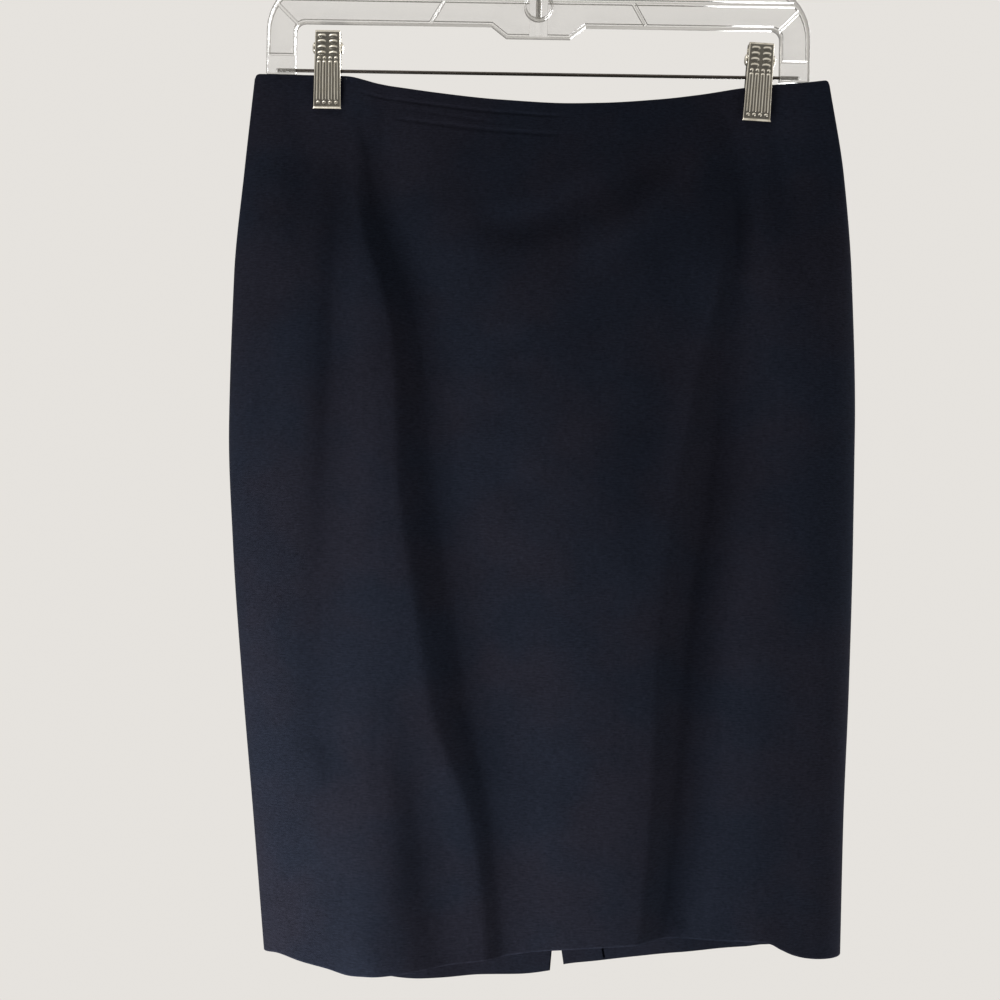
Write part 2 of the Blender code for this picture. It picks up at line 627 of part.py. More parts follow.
def make_jaw(name, side, place, collection, material):
    """One jaw: a stamped tray whose open side faces the cloth."""
    bm = bmesh.new()
    bmesh.ops.create_cube(bm, size=1.0)
    for vert in bm.verts:
        high = vert.co.z > 0
        face = vert.co.y < 0
        reach = JAW_TOP_DEPTH if high else JAW_FOOT_DEPTH
        width = JAW_TOP_WIDTH if high else JAW_FOOT_WIDTH
        vert.co = Vector((vert.co.x * width, side * (reach if face else JAW_OPENING),
                          JAW_TOP if high else JAW_FOOT))
    bm.normal_update()
    bmesh.ops.recalc_face_normals(bm, faces=bm.faces)
    open_side = [face for face in bm.faces if face.normal.y * side < -0.9]
    bmesh.ops.delete(bm, geom=open_side, context="FACES")
    jaw = add_object(name, mesh_from(bm, name), collection, material)
    wall = jaw.modifiers.new("sheet", "SOLIDIFY")
    wall.thickness = JAW_WALL * MM
    wall.offset = -1.0
    wall.use_even_offset = True
    jaw.matrix_world = place
    return jaw


def make_clip(clip, collection, steel):
    """A spring clip on the rod: two jaws, the spring between them and its pin."""
    place = (Matrix.Translation(Vector((clip.x, 0.0, ROD_HEIGHT - clip.drop)) * MM)
             @ Matrix.Rotation(clip.lean, 4, "Y"))
    make_jaw(f"{clip.name}_front_jaw", FRONT, place, collection, steel)
    make_jaw(f"{clip.name}_back_jaw", BACK, place, collection, steel)
    axle = place @ Matrix.Translation(Vector((0.0, 0.0, SPRING_HEIGHT)) * MM)
    length = SPRING_HALF_LENGTH
    turned(f"{clip.name}_spring", [(SPRING_OUTER, length), (SPRING_OUTER, -length),
                                   (SPRING_INNER, -length), (SPRING_INNER, length)], collection, steel, axle)
    shoulder = PIN_SHOULDER
    end = shoulder + PIN_HEAD
    half = [(0, end), (PIN_HEAD_RADIUS, end), (PIN_HEAD_RADIUS, shoulder), (PIN_RADIUS, shoulder)]
    other_half = [(radius, -along) for radius, along in reversed(half)]
    turned(f"{clip.name}_pin", half + other_half, collection, steel, axle)


# --------------------------------------------------------------------- zip
def zip_place():
    """A frame on the back's outer face at the zip: X across, Y out, Z up the cloth."""
    share = ZIP_BELOW_EDGE / SIDE_LENGTH
    down = np.array([[share - 0.01, share - 0.01], [share + 0.01, share + 0.01]])
    across = across_at(centre_back(down), down)
    upper, lower = (Vector(point) for point in outer_points(BACK, across, down)[:, 0])
    up_cloth = (upper - lower)
    up_cloth.x = 0.0
    up_cloth.normalize()
    out = up_cloth.cross(Vector((-1, 0, 0))).normalized()
    if out.y < 0:
        out = -out
    turn = Matrix((Vector((1, 0, 0)), out, up_cloth)).transposed().to_4x4()
    return Matrix.Translation((upper + lower) / 2 * MM) @ turn


def make_slider(place, collection, cutters, material):
    """The zip's slider: a rounded block with an arch that holds the pull."""
    width, depth, height = SLIDER
    bm = bmesh.new()
    bmesh.ops.create_cube(bm, size=1.0)
    bmesh.ops.scale(bm, vec=Vector((width, depth, height)), verts=bm.verts)
    bmesh.ops.translate(bm, vec=(0, ZIP_GAP + depth / 2, 0), verts=bm.verts)
    bmesh.ops.bevel(bm, geom=bm.edges[:], offset=0.5, segments=1, profile=0.5, affect="EDGES", material=-1)
    slider = add_object("zip_slider", mesh_from(bm, "zip_slider"), collection, material)
    slider.matrix_world = place
    pivot = ZIP_GAP + depth + PIVOT_OFF_FACE
    foot = pivot - PIVOT_OFF_FACE - 0.6
    loop = arc((pivot, 0.0), ARCH_RADIUS, math.pi / 2, -math.pi / 2, 10)
    path = [(foot, ARCH_RADIUS)] + loop + [(foot, -ARCH_RADIUS)]
    curve = bpy.data.curves.new("arch", "CURVE")
    curve.dimensions = "3D"
    curve.bevel_depth = ARCH_WIRE * MM
    curve.bevel_resolution = 2
    curve.use_fill_caps = True
    spline = curve.splines.new("POLY")
    spline.points.add(len(path) - 1)
    for point, (y, z) in zip(spline.points, path):
        point.co = (0.0, y * MM, z * MM, 1.0)
    wire = add_object("arch_wire", curve, cutters)
    wire.matrix_world = place
    bpy.context.view_layer.update()
    evaluated = wire.evaluated_get(bpy.context.evaluated_depsgraph_get())
    arch_mesh = bpy.data.meshes.new_from_object(evaluated)
    bm = bmesh.new()
    bm.from_mesh(arch_mesh)
    bmesh.ops.remove_doubles(bm, verts=bm.verts, dist=1e-6)
    bmesh.ops.recalc_face_normals(bm, faces=bm.faces)
    bm.to_mesh(arch_mesh)
    bm.free()
    arch = add_object("arch", arch_mesh, cutters)
    arch.matrix_world = place
    bpy.data.objects.remove(wire, do_unlink=True)
    combine(slider, arch, "UNION")
    return slider


def make_pull(place, collection, material):
    """The pull tab: a drop-shaped plate whose eye goes round the slider's arch."""
    curve = bpy.data.curves.new("zip_pull", "CURVE")
    curve.dimensions = "2D"
    curve.fill_mode = "BOTH"
    curve.extrude = PULL_THICK / 2 * MM
    tip = PULL_TIP_WIDTH / 2
    outline = [(-PULL_WIDTH / 2, PULL_BAR)]
    outline += arc((0.0, -PULL_LENGTH + tip), tip, math.pi * 0.95, math.pi * 2.05, 10)
    outline += [(PULL_WIDTH / 2, PULL_BAR)]
    eye = PULL_WINDOW[0] / 2
    window = [(-eye, -PULL_BAR), (eye, -PULL_BAR), (eye, -PULL_WINDOW[1]), (-eye, -PULL_WINDOW[1])]
    for loop in (outline, window):
        spline = curve.splines.new("POLY")
        spline.points.add(len(loop) - 1)
        spline.use_cyclic_u = True
        for point, (x, z) in zip(spline.points, loop):
            point.co = (x * MM, z * MM, 0.0, 1.0)
    pull = add_object("zip_pull", curve, collection, material)
    pivot = Vector((0.0, ZIP_GAP + SLIDER[1] + PIVOT_OFF_FACE, 0.0)) * MM
    pull.matrix_world = place @ Matrix.Translation(pivot) @ Matrix.Rotation(math.radians(90), 4, "X")
    return pull


# -------------------------------------------------------------------- build
def build():
    """Makes the whole part."""
    clear_scene()
    parts = make_collection(COLLECTION)
    cutters = make_collection("cutters")
    cloth = make_material("navy_suiting", (0.012, 0.013, 0.022), 0.85)
    clear = make_material("clear_plastic", (0.93, 0.94, 0.93), 0.08, alpha=0.3)
    steel = make_material("nickel_steel", (0.62, 0.60, 0.56), 0.28, metallic=1.0)
    enamel = make_material("navy_enamel", (0.02, 0.022, 0.035), 0.4, metallic=0.3)

    make_front(parts, cloth)
    make_back(-1, parts, cloth)
    make_back(1, parts, cloth)
    make_vent_facing(parts, cloth)

    make_frame(parts, cutters, clear)
    cylinder("hanger_rod", ROD_RADIUS, (-ROD_HALF_LENGTH, 0, ROD_HEIGHT),
             (ROD_HALF_LENGTH, 0, ROD_HEIGHT), 16, parts, steel)
    make_hook(parts, steel)
    for clip in CLIPS:
        make_clip(clip, parts, steel)

    place = zip_place()
    make_slider(place, parts, cutters, enamel)
    make_pull(place, parts, enamel)


build()
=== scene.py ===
"""Dresses the pencil skirt on its clip hanger.

The solids give the form. This script lays fine cloth over them, with its own
folds, and adds the sewing, the zip's chain, stamped clips with coil springs,
and the clear frame with rounded edges. Metres, +Z up, and the front of the
skirt faces -Y. Sizes in the tables are millimetres, and a height on the skirt
is a drop below the hanger's rod.
"""
from __future__ import annotations

import logging
import math
from dataclasses import dataclass, field
from enum import Enum
from typing import Callable, NamedTuple, Sequence, Union

import bmesh
import bpy
import numpy as np
from mathutils import Matrix, Vector


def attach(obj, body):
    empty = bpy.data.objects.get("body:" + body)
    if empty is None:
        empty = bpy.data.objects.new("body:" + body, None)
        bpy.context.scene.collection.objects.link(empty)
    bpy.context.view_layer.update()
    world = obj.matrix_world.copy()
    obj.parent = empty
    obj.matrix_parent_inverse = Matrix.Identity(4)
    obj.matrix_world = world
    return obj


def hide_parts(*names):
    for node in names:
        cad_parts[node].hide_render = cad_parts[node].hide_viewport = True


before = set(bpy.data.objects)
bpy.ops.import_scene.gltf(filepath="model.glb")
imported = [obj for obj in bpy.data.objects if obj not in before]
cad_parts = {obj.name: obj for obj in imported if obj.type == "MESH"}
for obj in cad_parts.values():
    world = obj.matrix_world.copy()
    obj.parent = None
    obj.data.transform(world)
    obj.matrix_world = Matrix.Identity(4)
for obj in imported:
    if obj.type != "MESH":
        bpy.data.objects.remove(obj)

MM = 0.001
BODY = "skirt_and_hanger"
ROD_HEIGHT = -137.5
LOG = logging.getLogger("pencil_skirt")

Colour = tuple[float, float, float, float]
Point = tuple[float, float]


# ------------------------------------------------------------ shader maths
def operator(kind: str, swapped: bool = False) -> Callable[..., "Sock"]:
    """A method that puts a socket, and what it is joined with, through a Math node."""
    def method(self: "Sock", *others: "Number") -> "Sock":
        """What the node gives."""
        return self.graph.math(kind, *((*others, self) if swapped else (self, *others)))
    return method


class Sock:
    """A shader socket that Python's operators work on."""

    def __init__(self, graph: "Graph", socket: bpy.types.NodeSocket) -> None:
        """Wraps a socket of a graph."""
        self.graph = graph
        self.socket = socket

    __add__ = __radd__ = operator("ADD")
    __sub__, __rsub__ = operator("SUBTRACT"), operator("SUBTRACT", swapped=True)
    __mul__ = __rmul__ = operator("MULTIPLY")
    __gt__, __lt__ = operator("GREATER_THAN"), operator("LESS_THAN")
    __abs__, sine, root = operator("ABSOLUTE"), operator("SINE"), operator("SQRT")


Number = Union[Sock, float]


class Graph:
    """The nodes of a material or a world, joined by expressions."""

    def __init__(self, name: str, owners: "bpy.types.bpy_prop_collection | None" = None) -> None:
        """Makes a material with a Principled shader, or another owner of nodes."""
        self.owner = (bpy.data.materials if owners is None else owners).new(name)
        self.owner.use_nodes = True
        self.tree = self.owner.node_tree
        self.shader = self.tree.nodes.get("Principled BSDF")

    def node(self, kind: str, settings: dict | None = None, inputs: dict | None = None) -> bpy.types.Node:
        """Adds a node.

        Args:
            kind: The node's type.
            settings: Its own settings.
            inputs: Values or links, by the input's name or number.

        Returns:
            The node.
        """
        made = self.tree.nodes.new(kind)
        for key, value in (settings or {}).items():
            setattr(made, key, value)
        for key, value in (inputs or {}).items():
            self.feed(made.inputs[key], value)
        return made

    def out(self, kind: str, settings: dict | None = None, inputs: dict | None = None,
            output: int | str = 0) -> Sock:
        """Adds a node, and gives one of its outputs."""
        return Sock(self, self.node(kind, settings, inputs).outputs[output])

    def feed(self, socket: bpy.types.NodeSocket, value: "Number | Sequence[float]") -> None:
        """Links a socket, or sets its value."""
        if isinstance(value, Sock):
            self.tree.links.new(value.socket, socket)
        else:
            socket.default_value = value

    def math(self, operation: str, *values: Number) -> Sock:
        """A Math node on values or links."""
        return self.out("ShaderNodeMath", {"operation": operation}, dict(enumerate(values)))

    def attribute(self, name: str) -> tuple[Sock, Sock, Sock]:
        """The three numbers of a named attribute of the mesh."""
        return self.split(self.out("ShaderNodeAttribute", {"attribute_name": name}, output="Vector"))

    def place(self) -> tuple[Sock, Sock, Sock]:
        """The object's own coordinates, in metres."""
        return self.split(self.out("ShaderNodeTexCoord", output="Object"))

    def split(self, vector: Sock) -> tuple[Sock, Sock, Sock]:
        """A vector's three numbers."""
        made = self.node("ShaderNodeSeparateXYZ", None, {0: vector})
        return tuple(Sock(self, number) for number in made.outputs)

    def join(self, x: Number, y: Number, z: Number) -> Sock:
        """A vector of three numbers."""
        return self.out("ShaderNodeCombineXYZ", None, {0: x, 1: y, 2: z})

    def noise(self, vector: Sock, scale: float, detail: float = 2.0) -> Sock:
        """Soft noise from 0 to 1."""
        return self.out("ShaderNodeTexNoise", None, {"Vector": vector, "Scale": scale, "Detail": detail})

    def step(self, value: Number, low: float, high: float) -> Sock:
        """A smooth step from 0 at low to 1 at high."""
        return self.out("ShaderNodeMapRange", {"interpolation_type": "SMOOTHSTEP"},
                        {0: value, 1: low, 2: high})

    def mix(self, factor: Number, low: "Sock | Colour", high: "Sock | Colour") -> Sock:
        """A colour between two."""
        return self.out("ShaderNodeMix", {"data_type": "RGBA"}, {0: factor, 6: low, 7: high}, 2)

    def scaled(self, colour: Sock, factor: Number) -> Sock:
        """A colour made lighter or darker by a link."""
        return self.out("ShaderNodeVectorMath", {"operation": "SCALE"}, {0: colour, "Scale": factor})

    def dress(self, constants: dict, varying: dict, height: Sock | None = None) -> bpy.types.Material:
        """Sets the shader's sockets.

        Args:
            constants: Values that are the same all over.
            varying: Links that change over the surface.
            height: Relief in metres, for a Bump node.

        Returns:
            The finished material.
        """
        for key, value in {**constants, **varying}.items():
            self.feed(self.shader.inputs[key], value)
        if height is not None:
            bump = self.out("ShaderNodeBump", None, {"Strength": 1.0, "Distance": 1.0, "Height": height})
            self.feed(self.shader.inputs["Normal"], bump)
        return self.owner


# ---------------------------------------------------------------- finishes
def shaded(colour: Colour, factor: float) -> Colour:
    """A colour made lighter or darker."""
    return (*(value * factor for value in colour[:3]), 1.0)


class Runs(Enum):
    """Which way a pressed line runs on the cloth."""

    DOWN = "down"            # at an x, from one drop to another
    ALONG_WAIST = "along"    # at a distance below the waist edge, from one x to another
    ALONG_HEM = "hem"        # at a distance above the hem, from one x to another


@dataclass(frozen=True)
class PressedLine:
    """A seam, dart or edge that shows through the cloth as a shallow line.

    A line that runs down leans from "at" to "at_end".
    """

    runs: Runs
    at: float
    at_end: float
    start: float
    end: float
    half_width: float
    depth: float
    fade: float = 8.0

    def height(self, graph: Graph, x: Sock, drop: Sock, below: Sock, above: Sock) -> Sock:
        """How much the line lowers the cloth, in metres."""
        across, along = {Runs.DOWN: (x, drop), Runs.ALONG_WAIST: (below, x),
                         Runs.ALONG_HEM: (above, x)}[self.runs]
        start, end, fade = self.start * MM, self.end * MM, self.fade * MM
        lean = (self.at_end - self.at) / (self.end - self.start)
        centre = (along - start) * lean + self.at * MM
        near = 1.0 - graph.step(abs(across - centre), 0.0, self.half_width * MM)
        ends = graph.step(along, start, start + fade) * (1.0 - graph.step(along, end - fade, end))
        return near * ends * (self.depth * MM)


@dataclass(frozen=True)
class SuitingFinish:
    """Fine plain-woven suiting in a navy that is nearly black."""

    navy: Colour = (0.0140, 0.0171, 0.0272, 1.0)
    violet: Colour = (0.0172, 0.0176, 0.0264, 1.0)
    lint: Colour = (0.16, 0.16, 0.17, 1.0)
    pitch: float = 0.62
    slub_cells: Point = (210.0, 1300.0)
    fine_cells: Point = (560.0, 1150.0)
    lint_cells: float = 48.0
    lint_radius: float = 0.018
    lint_share: float = 0.05
    # The band above the hem, and the strength, of a painted highlight along the hem's edge, where its rim
    # catches the light.
    edge_height: Point = (0.3, 1.3)
    hem_highlight: float = 0.0
    roughness: float = 0.82

    def build(self, name: str, lines: Sequence[PressedLine] = ()) -> bpy.types.Material:
        """The cloth's material, with the lines that show through it."""
        graph = Graph(name)
        x, drop, _ = graph.attribute("lay")
        below, above, _ = graph.attribute("edges")
        place = graph.join(x, drop, 0.0)
        wander = (graph.noise(place, 70.0) - 0.5) * (2.2 * self.pitch * MM)
        turn = math.pi / (self.pitch * MM)
        weave = ((x + wander) * turn).sine() * ((drop + wander) * turn).sine()
        slub = graph.noise(graph.join(x * self.slub_cells[0], drop * self.slub_cells[1], 0.0), 1.0, 3.0)
        fine = graph.noise(graph.join(x * self.fine_cells[0], drop * self.fine_cells[1], 3.0), 1.0)
        grain = graph.noise(graph.join(x, drop, 1.9), 330.0, 3.0)
        cloud = graph.noise(place, 12.0, 3.0)
        patch = graph.noise(graph.join(x, drop, 0.7), 42.0)
        tone = graph.mix(graph.step(cloud, 0.38, 0.62), self.navy, self.violet)
        light = slub * 1.00 + fine * 0.90 + grain * 0.40 + patch * 0.30 + weave * 0.08 - 0.29
        # Painted highlight: the colour is lightened in a thin band along the hem's edge, unevenly with the
        # patch noise.
        low, high = self.edge_height
        worn = (1.0 - graph.step(above, low * MM, high * MM)) * (patch * 1.4 * self.hem_highlight)
        colour = graph.scaled(tone, light * (worn + 1.0))
        cells = graph.node("ShaderNodeTexVoronoi", None, {"Vector": place, "Scale": self.lint_cells}).outputs
        chance = graph.split(Sock(graph, cells["Color"]))[0]
        speck = (Sock(graph, cells["Distance"]) < self.lint_radius) * (chance > 1.0 - self.lint_share)
        colour = graph.mix(speck * 0.55, colour, self.lint)
        height = weave * (0.016 * MM) + slub * (0.10 * MM) + fine * (0.05 * MM) + patch * (0.25 * MM)
        for line in lines:
            height = height - line.height(graph, x, drop, below, above)
        rough = slub * 0.12 + (self.roughness - 0.06)
        constants = {"Specular IOR Level": 0.02, "Sheen Weight": 0.02, "Sheen Roughness": 0.4}
        return graph.dress(constants, {"Base Color": colour, "Roughness": rough}, height)


@dataclass(frozen=True)
class ThreadFinish:
    """Twisted navy sewing thread, or the ribbed weave of a tape."""

    colour: Colour = (0.0125, 0.0150, 0.0250, 1.0)
    lighter: float = 1.7
    twist: float = 0.5

    def build(self, name: str) -> bpy.types.Material:
        """The thread's material."""
        graph = Graph(name)
        x, y, z = graph.place()
        ply = ((x + z * 0.8 + y) * (2 * math.pi / (self.twist * MM))).sine()
        shade = graph.noise(graph.join(x, y, z), 350.0)
        tone = graph.mix(shade, self.colour, shaded(self.colour, self.lighter))
        varying = {"Base Color": graph.scaled(tone, ply * 0.18 + 0.9), "Roughness": shade * 0.2 + 0.5}
        return graph.dress({"Specular IOR Level": 0.08, "Sheen Weight": 0.03}, varying, ply * (0.05 * MM))


@dataclass(frozen=True)
class SteelFinish:
    """Nickel-plated steel with faint rolling marks and duller, darker tarnished patches."""

    colour: Colour = (0.56, 0.53, 0.46, 1.0)
    tarnish: Colour = (0.30, 0.27, 0.21, 1.0)
    roughness: float = 0.17
    tarnished: float = 0.45

    def build(self, name: str) -> bpy.types.Material:
        """The steel's material."""
        graph = Graph(name)
        x, y, z = graph.place()
        rolled = graph.noise(graph.join(x * 2600.0, y * 2600.0, z * 140.0), 1.0)
        stain = graph.step(graph.noise(graph.join(x, y, z), 190.0, 3.0), 0.42, 0.68)
        colour = graph.mix(stain * self.tarnished, self.colour, self.tarnish)
        rough = rolled * 0.14 + stain * 0.12 + self.roughness - 0.07
        return graph.dress({"Metallic": 1.0}, {"Base Color": colour, "Roughness": rough},
                           rolled * (0.012 * MM))


@dataclass(frozen=True)
class ClearFinish:
    """Clear moulded polystyrene, denser where it is seen edge on, with painted shade there."""

    colour: Colour = (0.84, 0.81, 0.75, 1.0)
    shade: Colour = (0.30, 0.28, 0.24, 1.0)
    thin: float = 0.09
    edge: float = 0.85
    blend: float = 0.35

    def build(self, name: str) -> bpy.types.Material:
        """The plastic's material."""
        graph = Graph(name)
        x, y, z = graph.place()
        facing = graph.out("ShaderNodeLayerWeight", None, {"Blend": self.blend}, "Facing")
        flow = graph.noise(graph.join(x * 30.0, y * 90.0, z * 90.0), 1.0)
        scuff = graph.step(graph.noise(graph.join(x, y, z), 420.0, 3.0), 0.55, 0.8)
        alpha = facing * self.edge + flow * 0.06 + self.thin
        # Painted shade: the colour darkens to the shade colour where the plastic is seen edge on, for the
        # dark lines of refraction along its edges.
        colour = graph.mix(facing, self.colour, self.shade)
        varying = {"Base Color": colour, "Alpha": alpha, "Roughness": scuff * 0.16 + 0.10}
        return graph.dress({"IOR": 1.55, "Specular IOR Level": 0.7}, varying, flow * (0.5 * MM))


@dataclass(frozen=True)
class EnamelFinish:
    """Baked navy enamel on die-cast metal, worn a little."""

    colour: Colour = (0.018, 0.021, 0.036, 1.0)
    worn: Colour = (0.11, 0.11, 0.12, 1.0)

    def build(self, name: str) -> bpy.types.Material:
        """The enamel's material."""
        graph = Graph(name)
        x, y, z = graph.place()
        place = graph.join(x, y, z)
        wear = graph.step(graph.noise(place, 900.0, 3.0), 0.62, 0.8)
        peel = graph.noise(place, 2400.0)
        constants = {"Metallic": 0.25, "Coat Roughness": 0.15, "Specular IOR Level": 0.3}
        varying = {"Base Color": graph.mix(wear * 0.5, self.colour, self.worn),
                   "Roughness": wear * 0.2 + 0.34, "Coat Weight": 0.3 - wear * 0.3}
        return graph.dress(constants, varying, peel * (0.02 * MM))


@dataclass(frozen=True)
class FloorFinish:
    """A pale studio floor that fades out at its rim."""

    colour: Colour = (0.80, 0.79, 0.77, 1.0)
    darker: float = 0.97
    fade_start: float = 0.55
    fade_end: float = 1.55

    def build(self, name: str) -> bpy.types.Material:
        """The floor's material."""
        graph = Graph(name)
        x, y, z = graph.place()
        mottle = graph.noise(graph.join(x, y, z), 3.0)
        alpha = 1.0 - graph.step((x * x + y * y).root(), self.fade_start, self.fade_end)
        colour = graph.mix(mottle, self.colour, shaded(self.colour, self.darker))
        return graph.dress({"Specular IOR Level": 0.2}, {
            "Base Color": colour, "Alpha": alpha, "Roughness": mottle * 0.1 + 0.75})


# ------------------------------------------------------------- skirt tables
class Side(Enum):
    """Which way a wall's outer face points along Y."""

    FRONT = -1
    BACK = 1


class Section(NamedTuple):
    """How far the sides reach, and how deep each wall stands out, at a drop."""

    drop: float
    left: float
    right: float
    front_left: float
    front_mid: float
    front_right: float
    back_left: float
    back_mid: float
    back_right: float
    square_left: float
    square_right: float


class Fold(NamedTuple):
    """A valley, or a ridge if its depth is below 0, along a path of x and drop.

    Widths and depths are given for the path's start, middle and end. Left and
    right are those of a path that runs down. For one that runs to the right,
    left is below it and right is above. "crisp" is the share of the left flank
    that slopes straight, like a pressed pleat, instead of softly.
    """

    path: tuple[Point, ...]
    left: tuple[float, float, float]
    right: tuple[float, float, float]
    depth: tuple[float, float, float]
    crisp: float = 0.0


SECTIONS = (
    Section(0, -186.0, 192.0, 2, 12, 2, 2, 10, 2, 3.0, 3.0),
    Section(60, -191.8, 202.4, 14, 22, 13, 12, 20, 12, 2.8, 3.4),
    Section(130, -197.6, 208.8, 30, 34, 25, 22, 34, 24, 2.7, 4.0),
    Section(230, -199.4, 212.3, 42, 42, 33, 28, 40, 30, 2.7, 4.8),
    Section(310, -195.5, 212.0, 48, 45, 37, 28, 38, 30, 2.7, 6.0),
    Section(400, -188.0, 210.6, 54, 47, 39, 24, 32, 28, 2.7, 7.0),
    Section(490, -179.2, 208.2, 60, 43, 40, 18, 26, 26, 2.7, 7.5),
    Section(576, -171.0, 207.4, 64, 41, 41, 14, 22, 24, 2.8, 7.5),
)
WAIST_EDGE: tuple[Point, ...] = (
    (-186, 2.8), (-127, 3.2), (-104, 8.0), (-64, 14.9), (-24, 19.5), (15, 21.4), (41, 20.4), (80, 16.5),
    (107, 12.4), (134, 7.2), (154, 4.7), (178, 2.6), (192, 0.8),
)
FRONT_HEM: tuple[Point, ...] = (
    (-171, 576.4), (-158, 573.4), (-143, 575.4), (-126, 577.3), (-109, 580.1), (-75, 577.5), (-50, 574),
    (-19, 571), (13, 566.5), (50, 563), (80, 561), (115, 559.5), (150, 559.6), (156, 560.6), (163, 564.3),
    (172, 568.3), (180, 570.3), (190, 571.6), (207.4, 573),
)
BACK_HEM: tuple[Point, ...] = (
    (-171, 576.4), (-151, 580), (-133, 586.6), (-109, 593.6), (-92, 596.2), (-68, 598.3), (-53, 598.6),
    (-29, 597.6), (-5, 597.4), (18, 594.8), (27, 590.7), (51, 587.7), (75, 584.2), (99, 580.5), (124, 578.8),
    (148, 576.6), (160, 574.4), (180, 573.4), (207.4, 573),
)
FRONT_FOLDS = (
    # from the left clip down to the hem: the cloth stands proud, then drops back
    Fold(((-114, 26), (-109, 55), (-99, 103), (-86, 134), (-74, 165), (-67, 205), (-63, 263), (-50, 335),
          (-38.5, 400), (-36, 412), (-33, 426), (-30, 440), (-26.5, 454), (-23.5, 470), (-20.5, 490),
          (-17, 525), (-13, 570)), (12, 28, 12), (20, 53, 30), (9.0, 13.5, 6.0), 0.85),
    Fold(((-114, 60), (-105, 126), (-95, 187), (-84, 280), (-67, 372), (-43, 447), (-30, 500)), (18, 34, 18),
         (7, 13, 9), (-1.5, -3.6, -0.5)),
    # under the left clip, straight down
    Fold(((-128, 60), (-126, 117), (-126, 169), (-127, 230), (-128, 310), (-130, 430)), (8, 11, 15),
         (11, 15, 20), (3.0, 7.6, 4.0)),
    # drag from the clip to the left side, and a small mark below it
    Fold(((-148, 36), (-160, 54), (-174, 78)), (8, 9, 9), (8, 9, 9), (0.8, 1.5, 0.0)),
    Fold(((-174, 184), (-175, 217), (-172, 250)), (3.4, 3.4, 3.4), (9, 9, 9), (0.0, 1.3, 0.0)),
    # low folds at the left of the hem
    Fold(((-70, 414), (-67, 460), (-63, 496), (-59, 524), (-52, 562)), (9, 12, 13), (14, 18, 20),
         (0.0, 5.0, 4.5)),
    Fold(((-102, 370), (-97, 430), (-94, 476), (-94, 524), (-96, 560)), (18, 20, 18), (16, 18, 28),
         (0.0, -4.6, -6.6)),
    # from the right clip down to the hem
    Fold(((134, 44), (133, 108), (129, 151), (124, 190), (119, 240), (114, 286), (106, 344), (101, 386),
          (98, 440), (94, 490), (88, 560)), (9, 25, 17), (9, 42, 60), (6.0, 16.0, 12.0), 0.85),
    Fold(((142, 150), (139, 238), (137, 330), (134, 430), (126, 504), (118, 560)), (9, 11, 10), (14, 20, 18),
         (0.0, -2.2, -2.6)),
    Fold(((134, 60), (130, 150), (125, 238), (114, 330), (103, 420), (92, 500), (80, 560)), (12, 46, 34),
         (12, 40, 30), (1.0, 4.0, 3.5)),
    Fold(((126, 80), (114, 160), (98, 240), (83, 324), (79, 408), (75, 492), (71, 551)), (16, 32, 46),
         (6, 11, 12), (0.0, -4.0, -5.0)),
    # valley and ridge that drag from the right clip towards the middle
    Fold(((118, 84), (111, 125), (104, 158), (94, 192), (83, 227), (73, 260), (60, 292), (46, 330)),
         (12, 19, 20), (9, 13, 16), (1.0, 8.6, 0.0)),
    Fold(((92, 58), (75, 76), (56, 98), (36, 119), (14, 140)), (9, 12, 11), (8, 10, 9), (0.0, -6.5, 0.0)),
    # sag across the waist
    Fold(((-56, 94), (-36, 101), (-14, 103), (8, 98), (28, 87), (46, 74), (60, 60)), (8, 10, 9), (8, 9, 8),
         (0.0, 3.6, 0.0)),
    # small puckers over the stomach
    Fold(((-32, 176), (-16, 179), (2, 177)), (5, 6, 5), (5, 5, 5), (0.0, 0.8, 0.0)),
    Fold(((-24, 193), (-10, 196), (4, 194)), (3.4, 3.4, 3.4), (3.4, 3.4, 3.4), (0.0, 0.7, 0.0)),
    Fold(((-44, 220), (-22, 226), (0, 222)), (7, 8, 7), (7, 7, 7), (0.0, 0.9, 0.0)),
    Fold(((-30, 264), (-8, 270), (16, 263)), (8, 9, 8), (8, 8, 8), (0.0, 1.0, 0.0)),
    # the right side
    Fold(((146, 190), (148, 300), (148, 400), (147, 470), (152, 560)), (9, 9, 9), (18, 22, 18),
         (0.0, -1.6, -1.2)),
    Fold(((168, 330), (166, 400), (169, 480), (172, 560)), (14, 15, 14), (14, 16, 14), (0.0, 1.6, 1.6)),
    # where the vent's facing and a tuck press through
    Fold(((6, 420), (14, 462), (19, 496), (25, 560)), (6, 6, 6), (10, 10, 10), (0.0, -0.8, -0.3)),
    Fold(((99, 543), (102, 549), (105, 555)), (2.6, 2.6, 2.6), (2.6, 2.6, 2.6), (0.0, 1.2, 0.4)),
)
